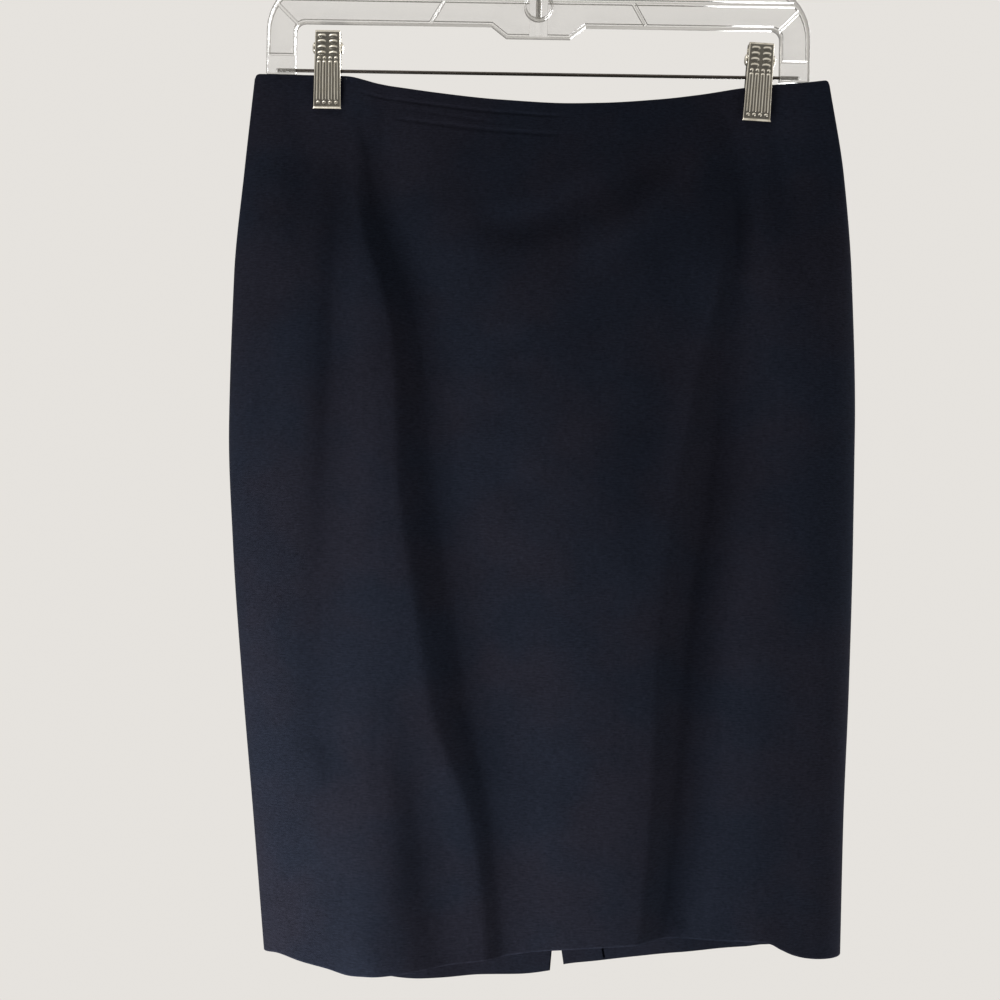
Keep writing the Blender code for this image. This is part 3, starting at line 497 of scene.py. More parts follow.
BACK_FOLDS = (
    Fold(((-127, 28), (-113, 100), (-101, 205), (-94, 330), (-83, 450), (-76, 594)), (10, 18, 20),
         (14, 34, 24), (3.5, 8.0, 6.0)),
    Fold(((135, 34), (130, 115), (118, 220), (112, 340), (104, 460), (101, 580)), (12, 32, 24), (10, 18, 20),
         (3.5, 8.0, 6.0)),
    Fold(((-86, 66), (-68, 130), (-57, 205), (-51, 300)), (10, 12, 14), (11, 14, 16), (0.0, 4.0, 0.0)),
    Fold(((94, 64), (78, 126), (67, 205), (63, 310)), (11, 14, 16), (10, 12, 14), (0.0, 4.0, 0.0)),
    Fold(((-54, 92), (-22, 104), (12, 107), (50, 92)), (10, 11, 10), (9, 10, 9), (0.0, 3.2, 0.0)),
    Fold(((-139, 380), (-136, 470), (-130, 588)), (12, 14, 14), (18, 22, 20), (0.0, 4.0, 4.0)),
    Fold(((160, 390), (163, 470), (165, 574)), (14, 18, 18), (11, 12, 12), (0.0, 4.0, 4.0)),
    Fold(((-160, 120), (-164, 190), (-162, 270)), (9, 9, 9), (12, 12, 12), (0.0, 2.0, 0.0)),
    Fold(((-28, 250), (-22, 360), (-26, 470)), (14, 18, 14), (16, 20, 16), (0.0, -2.2, 0.0)),
    Fold(((52, 300), (50, 400), (54, 500)), (12, 14, 12), (14, 18, 14), (0.0, 2.2, 0.0)),
    Fold(((178, 130), (182, 200), (180, 280)), (12, 12, 12), (9, 9, 9), (0.0, 1.8, 0.0)),
)


# --------------------------------------------------------------- skirt form
def smooth_through(knots: Sequence[float], values: Sequence[float], places: np.ndarray) -> np.ndarray:
    """A smooth curve through some values, without overshoot, read at some places."""
    knots, values = np.asarray(knots, float), np.asarray(values, float)
    rises = np.diff(values) / np.diff(knots)
    before, after = np.append(rises[:1], rises), np.append(rises, rises[-1:])
    same_way = before * after > 0
    slopes = np.where(same_way, 2 * before * after / np.where(same_way, before + after, 1.0), 0.0)
    index = np.clip(np.searchsorted(knots, places, side="right") - 1, 0, len(knots) - 2)
    span = knots[index + 1] - knots[index]
    t = np.clip((places - knots[index]) / span, 0.0, 1.0)
    return (values[index] * (2 * t**3 - 3 * t**2 + 1) + values[index + 1] * (3 * t**2 - 2 * t**3)
            + slopes[index] * span * (t**3 - 2 * t**2 + t) + slopes[index + 1] * span * (t**3 - t**2))


def ease(t: np.ndarray) -> np.ndarray:
    """A smooth step from 0 to 1."""
    t = np.clip(t, 0.0, 1.0)
    return t * t * (3 - 2 * t)


def straight_rise(t: np.ndarray, end: float = 0.18) -> np.ndarray:
    """A straight rise from 0 to 1, eased only over a short share at each end."""
    t = np.clip(t, 0.0, 1.0)
    low, high = t * t / (2 * end), 1 - end - (1 - t) ** 2 / (2 * end)
    return np.where(t < end, low, np.where(t > 1 - end, high, t - end / 2)) / (1 - end)


@dataclass(frozen=True)
class ClipPlace:
    """Where a clip hangs: its x, its drop below the rod and its lean."""

    name: str
    x: float
    drop: float
    lean: float

    def matrix(self) -> Matrix:
        """The clip's own frame, in metres."""
        return (Matrix.Translation(Vector((self.x, 0.0, ROD_HEIGHT - self.drop)) * MM)
                @ Matrix.Rotation(self.lean, 4, "Y"))


CLIPS = (ClipPlace("clip_left", -138.0, 0.0, 0.0), ClipPlace("clip_right", 145.2, 3.7, math.radians(2.9)))


@dataclass
class SkirtForm:
    """The form that the cloth hangs in. "across" runs from -1 to 1, and "down" from 0 to 1.

    "pinch" is how far a clip holds the cloth flat to each side and down, and over
    what lengths that fades. "ripples" are sizes, lengths and phases of waves.
    """

    side_length: float = 576.0
    wall: float = 0.9
    seam_gap: float = 0.02
    seam_lap: float = 0.25
    side_step: float = 0.0052
    side_fade: float = 0.08
    shoulder: float = 0.7
    fold_fall: float = 1.8
    normal_step: float = 0.003
    pinch: tuple[float, float, float, float] = (11.0, 33.0, 18.0, 50.0)
    centre_back: Point = (3.0, 22.5)
    vent_height: float = 145.0
    lean_soft: float = 60.0
    corner_round: float = 3.6
    fold_round: float = 3.0
    vent_slit: tuple[Point, ...] = ((0, 4.5), (12, 3.1), (50, 2.5), (100, 1.4), (145, 0.12))
    ripples: tuple[tuple[float, float, float, float], ...] = (
        (0.22, 97.0, 310.0, 1.3), (0.13, -61.0, 190.0, 0.4), (0.05, 27.0, 74.0, 5.1))

    def section(self, name: str, down: np.ndarray) -> np.ndarray:
        """A column of the section table, read at a share of the way down."""
        drops = [row.drop for row in SECTIONS]
        return smooth_through(drops, [getattr(row, name) for row in SECTIONS], down * self.side_length)

    def across_at(self, x: np.ndarray, down: np.ndarray) -> np.ndarray:
        """The share across the skirt that an x stands for."""
        left, right = self.section("left", down), self.section("right", down)
        return 2 * (x - left) / (right - left) - 1

    def centre_x(self, down: np.ndarray) -> np.ndarray:
        """The x of the centre back seam."""
        return self.centre_back[0] + (self.centre_back[1] - self.centre_back[0]) * down

    def back_edge(self, end: int, down: np.ndarray) -> np.ndarray:
        """Where a back panel ends at the centre: the seam, and the vent below it."""
        above = (1.0 - down) * self.side_length
        half_gap = np.interp(above, *zip(*self.vent_slit))
        return self.across_at(self.centre_x(down) + end * half_gap, down)

    def between(self, values: Sequence[float], along: np.ndarray) -> np.ndarray:
        """Eases from a fold's start, through its middle, to its end."""
        start, middle, end = values
        return np.where(along < 0.5, start + (middle - start) * ease(2 * along),
                        middle + (end - middle) * ease(2 * along - 1))

    def relief(self, folds: Sequence[Fold], x: np.ndarray, drop: np.ndarray) -> np.ndarray:
        """How far the folds press the cloth in, at x and drop."""
        total = np.zeros_like(x)
        for fold in folds:
            marks = np.linspace(0.0, 1.0, len(fold.path))
            fine = np.linspace(0.0, 1.0, 5 * len(fold.path))
            path_x, path_drop = (smooth_through(marks, values, fine) for values in zip(*fold.path))
            nearest, along, beside = np.full_like(x, np.inf), np.zeros_like(x), np.zeros_like(x)
            for step in range(len(fine) - 1):
                run_x, run_drop = path_x[step + 1] - path_x[step], path_drop[step + 1] - path_drop[step]
                off_x, off_drop = x - path_x[step], drop - path_drop[step]
                t = np.clip((off_x * run_x + off_drop * run_drop) / (run_x**2 + run_drop**2), 0.0, 1.0)
                distance = np.hypot(off_x - t * run_x, off_drop - t * run_drop)
                closer = distance < nearest
                nearest = np.where(closer, distance, nearest)
                along = np.where(closer, fine[step] + t * (fine[step + 1] - fine[step]), along)
                beside = np.where(closer, off_x * run_drop - off_drop * run_x, beside)
            lean = ease(beside / self.lean_soft + 0.5)
            left, right, depth = (self.between(values, along)
                                  for values in (fold.left, fold.right, fold.depth))
            width = left + (right - left) * lean
            rounded = np.hypot(nearest, self.fold_round) - self.fold_round
            profile = np.exp(-(rounded / width) ** self.fold_fall)
            profile = profile + fold.crisp * (1 - lean) * (straight_rise(1 - nearest / width) - profile)
            total += depth * profile
        return total

    def held(self, x: np.ndarray, drop: np.ndarray) -> np.ndarray:
        """1 where a clip holds the cloth flat, and 0 away from the clips."""
        half_width, reach, ease_across, ease_down = self.pinch
        most = np.zeros_like(x)
        for clip in CLIPS:
            beside = np.exp(-(np.maximum(np.abs(x - clip.x) - half_width, 0.0) / ease_across) ** 2)
            below = np.exp(-(np.maximum(drop - reach, 0.0) / ease_down) ** 2)
            most = np.maximum(most, beside * below)
        return most

    def plain_depth(self, side: Side, across: np.ndarray, down: np.ndarray) -> np.ndarray:
        """How deep a wall stands out before any fold."""
        face = side.name.lower()
        left, middle, right = (self.section(f"{face}_{part}", down) for part in ("left", "mid", "right"))
        depth = (middle + (left - middle) * ease(-across / self.shoulder)
                 + (right - middle) * ease(across / self.shoulder))
        square = np.where(across < 0, self.section("square_left", down), self.section("square_right", down))
        return depth * np.sqrt(np.maximum(1.0 - np.abs(across) ** square, 0.0))

    def seam_offset(self, side: Side, end: int, down: np.ndarray) -> np.ndarray:
        """Where a wall's outer face meets the side seam, off the seam's middle."""
        rise = self.plain_depth(side, np.full_like(down, end * (1.0 - self.side_step)), down)
        run = self.side_step * (self.section("right", down) - self.section("left", down)) / 2
        return self.seam_gap / 2 + (1.0 - self.seam_lap) * self.wall * run / np.hypot(run, rise)

    def place(self, side: Side, across: np.ndarray, down: np.ndarray) -> tuple[np.ndarray, np.ndarray]:
        """Points on a wall's outer face.

        Args:
            side: The front or the back.
            across: Shares across the skirt.
            down: Shares of the way down.

        Returns:
            The points in millimetres, and x, drop, distance below the waist
            edge and distance above the hem of each.
        """
        left, right = self.section("left", down), self.section("right", down)
        x = left + (right - left) * (across + 1) / 2
        hem, folds = (FRONT_HEM, FRONT_FOLDS) if side is Side.FRONT else (BACK_HEM, BACK_FOLDS)
        top, bottom = (smooth_through(*zip(*edge), x) for edge in (WAIST_EDGE, hem))
        in_corner = np.clip(1.0 - np.minimum(x - left, right - x) / self.corner_round, 0.0, 1.0)
        top = top + self.corner_round * (1.0 - np.sqrt(1.0 - in_corner**2))
        drop = top + (bottom - top) * down
        fade = ease((1.0 - np.abs(across)) / self.side_fade)
        waves = sum(size * np.sin(2 * np.pi * (x / wide + drop / long) + phase)
                    for size, wide, long, phase in self.ripples)
        relief = (self.relief(folds, x, drop) + waves * ease(down * 5)) * fade
        depth = np.maximum(self.plain_depth(side, across, down) - relief, 0.0) * (1.0 - self.held(x, drop))
        at_left, at_right = self.seam_offset(side, -1, down), self.seam_offset(side, 1, down)
        offset = at_left + (at_right - at_left) * (across + 1) / 2
        points = np.stack((x, side.value * (depth + offset), ROD_HEIGHT - drop), axis=-1)
        return points, np.stack((x, drop, drop - top, bottom - drop), axis=-1)

    def outward(self, side: Side, across: np.ndarray, down: np.ndarray) -> np.ndarray:
        """Unit normals out of the skirt."""
        def at(off: float, fall: float) -> np.ndarray:
            """Points a little aside or further down."""
            return self.place(side, np.clip(across + off, -1, 1), down + fall)[0]

        e = self.normal_step
        normals = np.cross(at(e, 0) - at(-e, 0), at(0, e) - at(0, -e))
        normals /= np.linalg.norm(normals, axis=-1, keepdims=True)
        return normals * np.sign(np.median(normals[..., 1]) * side.value)


# ------------------------------------------------------------ making pieces
MERGE = 1e-6    # points closer than this, in metres, are one point


def add_object(name: str, data: bpy.types.ID) -> bpy.types.Object:
    """Makes an object and links it to the scene."""
    made = bpy.data.objects.new(name, data)
    bpy.context.scene.collection.objects.link(made)
    return made


def finish_piece(name: str, mesh: bpy.types.Mesh, material: bpy.types.Material,
                 replaces: str | None = None, sharp: float = 50.0) -> bpy.types.Object:
    """Makes a smooth-shaded object of a mesh, and lets it ride.

    Args:
        name: The piece's name.
        mesh: Its mesh, in metres and in place.
        material: Its finish.
        replaces: The CAD node that it stands for, if any.
        sharp: The angle in degrees from which an edge is sharp.

    Returns:
        The object.
    """
    mesh.name = name
    mesh.materials.clear()
    mesh.materials.append(material)
    mesh.shade_smooth()
    mesh.set_sharp_from_angle(angle=math.radians(sharp))
    piece = add_object(name, mesh)
    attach(piece, BODY)
    if replaces:
        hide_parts(replaces)
    LOG.info("%s: %d faces", name, len(mesh.polygons))
    return piece


def mesh_of(bm: bmesh.types.BMesh, name: str) -> bpy.types.Mesh:
    """Turns a bmesh into a mesh and frees it."""
    mesh = bpy.data.meshes.new(name)
    bm.to_mesh(mesh)
    bm.free()
    return mesh


def evaluated(data: bpy.types.ID, solidify: dict | None = None) -> bpy.types.Mesh:
    """The mesh that Blender makes of a curve, or of a mesh that gets a thickness."""
    helper = add_object("helper", data)
    if solidify:
        modifier = helper.modifiers.new("solidify", "SOLIDIFY")
        for key, value in solidify.items():
            setattr(modifier, key, value)
    bpy.context.view_layer.update()
    made = bpy.data.meshes.new_from_object(helper.evaluated_get(bpy.context.evaluated_depsgraph_get()))
    bpy.data.objects.remove(helper, do_unlink=True)
    return made


def flat_grid(name: str, columns: int, rows: int) -> tuple[bpy.types.Mesh, np.ndarray, np.ndarray]:
    """A flat grid, and each point's place across and up it, from 0 to 1."""
    bm = bmesh.new()
    bmesh.ops.create_grid(bm, x_segments=columns, y_segments=rows, size=1.0)
    mesh = mesh_of(bm, name)
    flat = np.empty(3 * len(mesh.vertices))
    mesh.vertices.foreach_get("co", flat)
    return mesh, (flat[0::3] + 1) / 2, (flat[1::3] + 1) / 2


def wrapped(mesh: bpy.types.Mesh, points: np.ndarray, side: Side, thickness: float,
            quality: bool = False) -> bpy.types.Mesh:
    """Lays a grid on points in millimetres, faces it outwards and thickens it inwards."""
    mesh.vertices.foreach_set("co", (points * MM).ravel())
    mesh.update()
    facing = np.empty(3 * len(mesh.polygons))
    mesh.polygons.foreach_get("normal", facing)
    if np.median(facing[1::3]) * side.value < 0:
        mesh.flip_normals()
    return evaluated(mesh, {"thickness": thickness * MM, "offset": -1.0, "use_quality_normals": quality})


def turned(profile: Sequence[tuple[float, float, float]], axis: tuple[int, int, int], steps: int,
           closed: bool) -> bmesh.types.BMesh:
    """Turns a profile, in millimetres, all the way round an axis."""
    bm = bmesh.new()
    verts = [bm.verts.new([value * MM for value in point]) for point in profile]
    ends = verts[:1] if closed else []
    edges = [bm.edges.new(pair) for pair in zip(verts, verts[1:] + ends)]
    bmesh.ops.spin(bm, geom=verts + edges, cent=(0, 0, 0), axis=axis, angle=2 * math.pi, steps=steps,
                   use_merge=True)
    bmesh.ops.remove_doubles(bm, verts=bm.verts, dist=MERGE)
    return bm


Edge = Callable[[np.ndarray], np.ndarray]
Crowd = tuple[bool, bool]


@dataclass
class ClothPanel:
    """One cut piece of cloth: a fine grid on the skirt's form, with a thickness.

    Two edge functions give where it starts and ends across, for each share of
    the way down. "crowd" says at which of the two its columns lie closer, and
    "inset" is how far inside the outer face it lies.
    """

    name: str
    side: Side
    start: Edge
    end: Edge
    columns: int
    rows: int
    crowd: Crowd = (False, False)
    top: float = 0.0
    bottom: float = 1.0
    inset: float = 0.0
    thickness: float = 0.9
    crowding: float = 0.45

    def shares(self, t: np.ndarray) -> np.ndarray:
        """Crowds evenly spread columns towards the rounded sides."""
        low, high = self.crowd
        if not low and not high:
            return t
        bent = (np.sin((low * (t - 1) + high * t) * np.pi / 2) + low) / (low + high)
        return (1 - self.crowding) * t + self.crowding * bent

    def across(self, down: np.ndarray, share: np.ndarray) -> np.ndarray:
        """Where a share of the panel's width lies across the skirt."""
        return self.start(down) + (self.end(down) - self.start(down)) * share

    def cut_size(self, form: SkirtForm, steps: int = 240) -> tuple[float, float]:
        """The greatest width and length along the cloth, in metres."""
        evenly = np.linspace(0.0, 1.0, steps)
        down, share = np.meshgrid(evenly, evenly, indexing="ij")
        points = form.place(self.side, self.across(down, share), down)[0] * MM
        width, length = (np.linalg.norm(np.diff(points, axis=axis), axis=-1).sum(axis=axis).max()
                         for axis in (1, 0))
        return float(width), float(length)

    def build(self, form: SkirtForm, material: bpy.types.Material,
              replaces: str | None = None) -> bpy.types.Object:
        """Makes the panel and dresses it."""
        mesh, share, up = flat_grid(self.name, self.columns, self.rows)
        share, down = self.shares(share), self.top + (self.bottom - self.top) * (1 - up)
        across = self.across(down, share)
        points, lay = form.place(self.side, across, down)
        if self.inset:
            points = points - form.outward(self.side, across, down) * self.inset
            reach = np.maximum(self.side.value * points[:, 1], form.seam_gap / 2 + self.thickness)
            points[:, 1] = self.side.value * reach
        for name, columns in (("lay", (0, 1)), ("edges", (2, 3))):
            values = np.zeros((len(points), 3))
            values[:, :2] = lay[:, columns] * MM
            mesh.attributes.new(name, "FLOAT_VECTOR", "POINT").data.foreach_set("vector", values.ravel())
        corners = np.empty(len(mesh.loops), int)
        mesh.loops.foreach_get("vertex_index", corners)
        unwrap = np.stack((share, 1 - down), axis=-1)[corners]
        mesh.uv_layers.new(name="UVMap").data.foreach_set("uv", unwrap.ravel())
        mesh = wrapped(mesh, points, self.side, self.thickness, quality=True)
        return finish_piece(self.name, mesh, material, replaces)


@dataclass(frozen=True)
class StitchRow:
    """A row of short stitches on a line of points."""

    pitch: float = 3.0
    length: float = 2.2
    radius: float = 0.22

    def build(self, name: str, points: np.ndarray, out: np.ndarray, material: bpy.types.Material,
              across: bool = False) -> bpy.types.Object:
        """Lays the stitches.

        Args:
            name: The row's name.
            points: Close points along the line, in millimetres.
            out: The direction off the cloth at each point.
            material: The thread.
            across: Lays each stitch across the line, as in a zip's chain.

        Returns:
            The object.
        """
        lengths = np.append(0.0, np.cumsum(np.linalg.norm(np.diff(points, axis=0), axis=1)))

        def read(values: np.ndarray, place: float) -> Vector:
            """The values at a length along the line."""
            return Vector([np.interp(place, lengths, values[:, axis]) for axis in range(3)])

        bm = bmesh.new()
        for place in np.arange(self.pitch / 2, lengths[-1], self.pitch):
            at, ahead, up = read(points, place), read(points, place + 0.5), read(out, place).normalized()
            along = (ahead - at).normalized() if (ahead - at).length > MERGE else Vector((0, 0, -1))
            if across:
                along = along.cross(up).normalized()
            side = up.cross(along).normalized()
            turn = Matrix((along, side, up)).transposed().to_4x4()
            size = Matrix.Diagonal((self.length / 2, self.radius, self.radius, 1.0))
            bmesh.ops.create_uvsphere(bm, u_segments=8, v_segments=5, radius=1.0, matrix=(
                Matrix.Scale(MM, 4) @ Matrix.Translation(at + up * self.radius * 0.5) @ turn @ size))
        return finish_piece(name, mesh_of(bm, name), material, sharp=180.0)


# -------------------------------------------------------------------- skirt
@dataclass
class Skirt:
    """The skirt's cloth, its sewing and the inside of its hem, vent and zip."""

    form: SkirtForm = field(default_factory=SkirtForm)
    front_grid: tuple[int, int] = (198, 232)
    back_grid: tuple[int, int] = (112, 232)
    hem_turn: float = 34.0
    hem_sides: float = 0.985
    hem_fold: float = 0.9985
    turned_inset: float = 1.05
    turned_cloth: float = 0.6
    facing_width: float = 26.6
    facing_cloth: float = 0.8
    vent_stitch_rise: float = 9.0
    zip_top: float = 3.0
    zip_length: float = 178.0
    zip_stitch: float = 6.5
    tape_edges: Point = (0.3, 11.5)
    tape_cloth: float = 0.35
    stitch_depth: float = 1.7
    chain_depth: float = 1.4

    def lines(self, side: Side) -> list[PressedLine]:
        """The darts, seams and edges that show through a side."""
        if side is Side.FRONT:
            rows = ((Runs.ALONG_WAIST, 8.5, 8.5, -122, 22, 2.0, 0.42, 16.0),
                    (Runs.ALONG_WAIST, 21.0, 21.0, -98, 20, 2.4, 0.42, 14.0),
                    (Runs.ALONG_WAIST, 13.0, 16.0, -104, -10, 2.0, 0.16, 24.0))
        else:
            rows = ((Runs.DOWN, -92, -84, -2, 118, 1.0, 0.42),
                    (Runs.DOWN, 99, 92, -2, 118, 1.0, 0.42),
                    (Runs.ALONG_WAIST, 9.0, 9.0, -180, 186, 1.6, 0.26))
        hem = (Runs.ALONG_HEM, self.hem_turn, self.hem_turn, -165, 200, 2.2, 0.10)
        return [PressedLine(*row) for row in (*rows, hem)]

    def constant(self, value: float) -> Edge:
        """An edge at one share across, all the way down."""
        return lambda down: np.full_like(down, value)

    def centre_off(self, distance: float) -> Edge:
        """An edge at a distance from the centre back seam."""
        return lambda down: self.form.across_at(self.form.centre_x(down) + distance, down)

    def vent_off(self, end: int, distance: float = 0.0) -> Edge:
        """An edge at a distance from the vent's edge, towards a side."""
        def edge(down: np.ndarray) -> np.ndarray:
            """The share across, at a share of the way down."""
            half = (self.form.section("right", down) - self.form.section("left", down)) / 2
            return self.form.back_edge(end, down) + end * distance / half
        return edge

    def share(self, drop: float) -> float:
        """The share of the way down that a length of cloth is."""
        return drop / self.form.side_length

    def panels(self) -> None:
        """The front and the two halves of the back, each a sheet with what is turned in."""
        # The front's hem edge gets a painted highlight.
        front_cloth = SuitingFinish(hem_highlight=0.8).build("suiting_front", self.lines(Side.FRONT))
        back_cloth = SuitingFinish().build("suiting_back", self.lines(Side.BACK))
        left, right = self.constant(-1), self.constant(1)
        panels = (
            ClothPanel("front", Side.FRONT, left, right, *self.front_grid, (True, True)),
            ClothPanel("back_left", Side.BACK, left, self.vent_off(-1), *self.back_grid, (True, False)),
            ClothPanel("back_right", Side.BACK, self.vent_off(1), right, *self.back_grid, (False, True)))
        cloths = (front_cloth, back_cloth, back_cloth)
        nodes = ("front_panel", "back_panel_left", "back_panel_right")
        pieces = [panel.build(self.form, cloth, node) for panel, cloth, node in zip(panels, cloths, nodes)]
        for panel, piece, extras in zip(panels, pieces, self.inside()):
            panel.cut_size(self.form)

    def inside(self) -> list[list[bpy.types.Object]]:
        """The turned hem and the vent's facing, for each panel."""
        cloth = SuitingFinish().build("suiting_turned")
        left, right = self.constant(-self.hem_sides), self.constant(self.hem_sides)
        foot = (self.hem_fold, self.turned_inset)
        made = [[ClothPanel(f"hem_turn_{name}", side, start, end, columns, 10, crowd,
                            1 - self.share(self.hem_turn), *foot, self.turned_cloth).build(self.form, cloth)]
                for name, side, start, end, columns, crowd in (
                    ("front", Side.FRONT, left, right, 120, (True, True)),
                    ("back_left", Side.BACK, left, self.vent_off(-1, 1.0), 60, (True, False)),
                    ("back_right", Side.BACK, self.vent_off(1, self.facing_width + 1.5), right, 60,
                     (False, True)))]
        facing = ClothPanel("vent_turned_facing", Side.BACK, self.vent_off(1, 0.4),
                            self.vent_off(1, self.facing_width), 12, 48, (False, False),
                            1 - self.share(self.form.vent_height), self.hem_fold, self.turned_inset + 0.1,
                            self.facing_cloth)
        made[-1].append(facing.build(self.form, cloth, "vent_facing"))
        return made

    def on_cloth(self, side: Side, across: np.ndarray, down: np.ndarray, inset: float = 0.0
                 ) -> tuple[np.ndarray, np.ndarray]:
        """Points on the cloth, and the way off it.

        Args:
            side: The front or the back.
            across: Shares across the skirt.
            down: Shares of the way down.
            inset: How far inside the outer face; the way off is then inwards.

        Returns:
            The points in millimetres, and the directions.
        """
        out = self.form.outward(side, across, down)
        return self.form.place(side, across, down)[0] - out * inset, -out if inset else out

    def by_seam(self, off: "np.ndarray | float", down: np.ndarray, inset: float = 0.0
                ) -> tuple[np.ndarray, np.ndarray]:
        """The same, at distances from the centre back seam."""
        across = self.form.across_at(self.form.centre_x(down) + off, down)
        return self.on_cloth(Side.BACK, across, down, inset)

    def sewing(self) -> None:
        """Stitches beside the zip, across the vent's top and along the turned hem."""
        thread = ThreadFinish().build("navy_thread")
        row, blind = StitchRow(), StitchRow(pitch=7.0, length=3.0, radius=0.16)
        foot = self.share(self.zip_length)
        down = np.linspace(self.share(1.5), foot, 160)
        for name, end in (("left", -1), ("right", 1)):
            row.build(f"zip_stitches_{name}", *self.by_seam(end * self.zip_stitch, down), thread)
        off = np.linspace(-self.zip_stitch, self.zip_stitch, 40)
        row.build("zip_stitches_foot", *self.by_seam(off, np.full_like(off, foot)), thread)
        off = np.linspace(0.4, self.facing_width, 60)
        rise = self.vent_stitch_rise * (1 - off / self.facing_width)
        down = 1 - self.share(self.form.vent_height + rise)
        row.build("vent_stitches", *self.by_seam(off, down), thread)
        level = 1 - self.share(self.hem_turn - 1.0)
        for name, side, start, stop in (("front", Side.FRONT, -0.97, 0.97),
                                        ("back_left", Side.BACK, -0.97, -0.02),
                                        ("back_right", Side.BACK, 0.24, 0.97)):
            across = np.linspace(start, stop, 300)
            line = self.on_cloth(side, across, np.full_like(across, level), self.stitch_depth)
            blind.build(f"hem_stitches_{name}", *line, thread)

    def zip_inside(self) -> None:
        """The zip's two tapes and its chain, on the inner side of the back."""
        tape = ThreadFinish(twist=0.9).build("zip_tape")
        nylon = ThreadFinish(colour=(0.020, 0.022, 0.034, 1.0), twist=0.3).build("zip_nylon")
        top, bottom = self.share(self.zip_top), self.share(self.zip_length + 8)
        inner, outer = self.tape_edges
        for name, start, stop in (("left", -outer, -inner), ("right", inner, outer)):
            ClothPanel(f"zip_tape_{name}", Side.BACK, self.centre_off(start), self.centre_off(stop), 6, 60,
                       (False, False), top, bottom, 1.0, self.tape_cloth).build(self.form, tape)
        down = np.linspace(top, self.share(self.zip_length), 160)
        chain = StitchRow(pitch=1.3, length=4.2, radius=0.42)
        chain.build("zip_chain", *self.by_seam(0.0, down, self.chain_depth), nylon, across=True)

    def build(self) -> None:
        """Makes everything of cloth and thread."""
        self.panels()
        self.sewing()
        self.zip_inside()


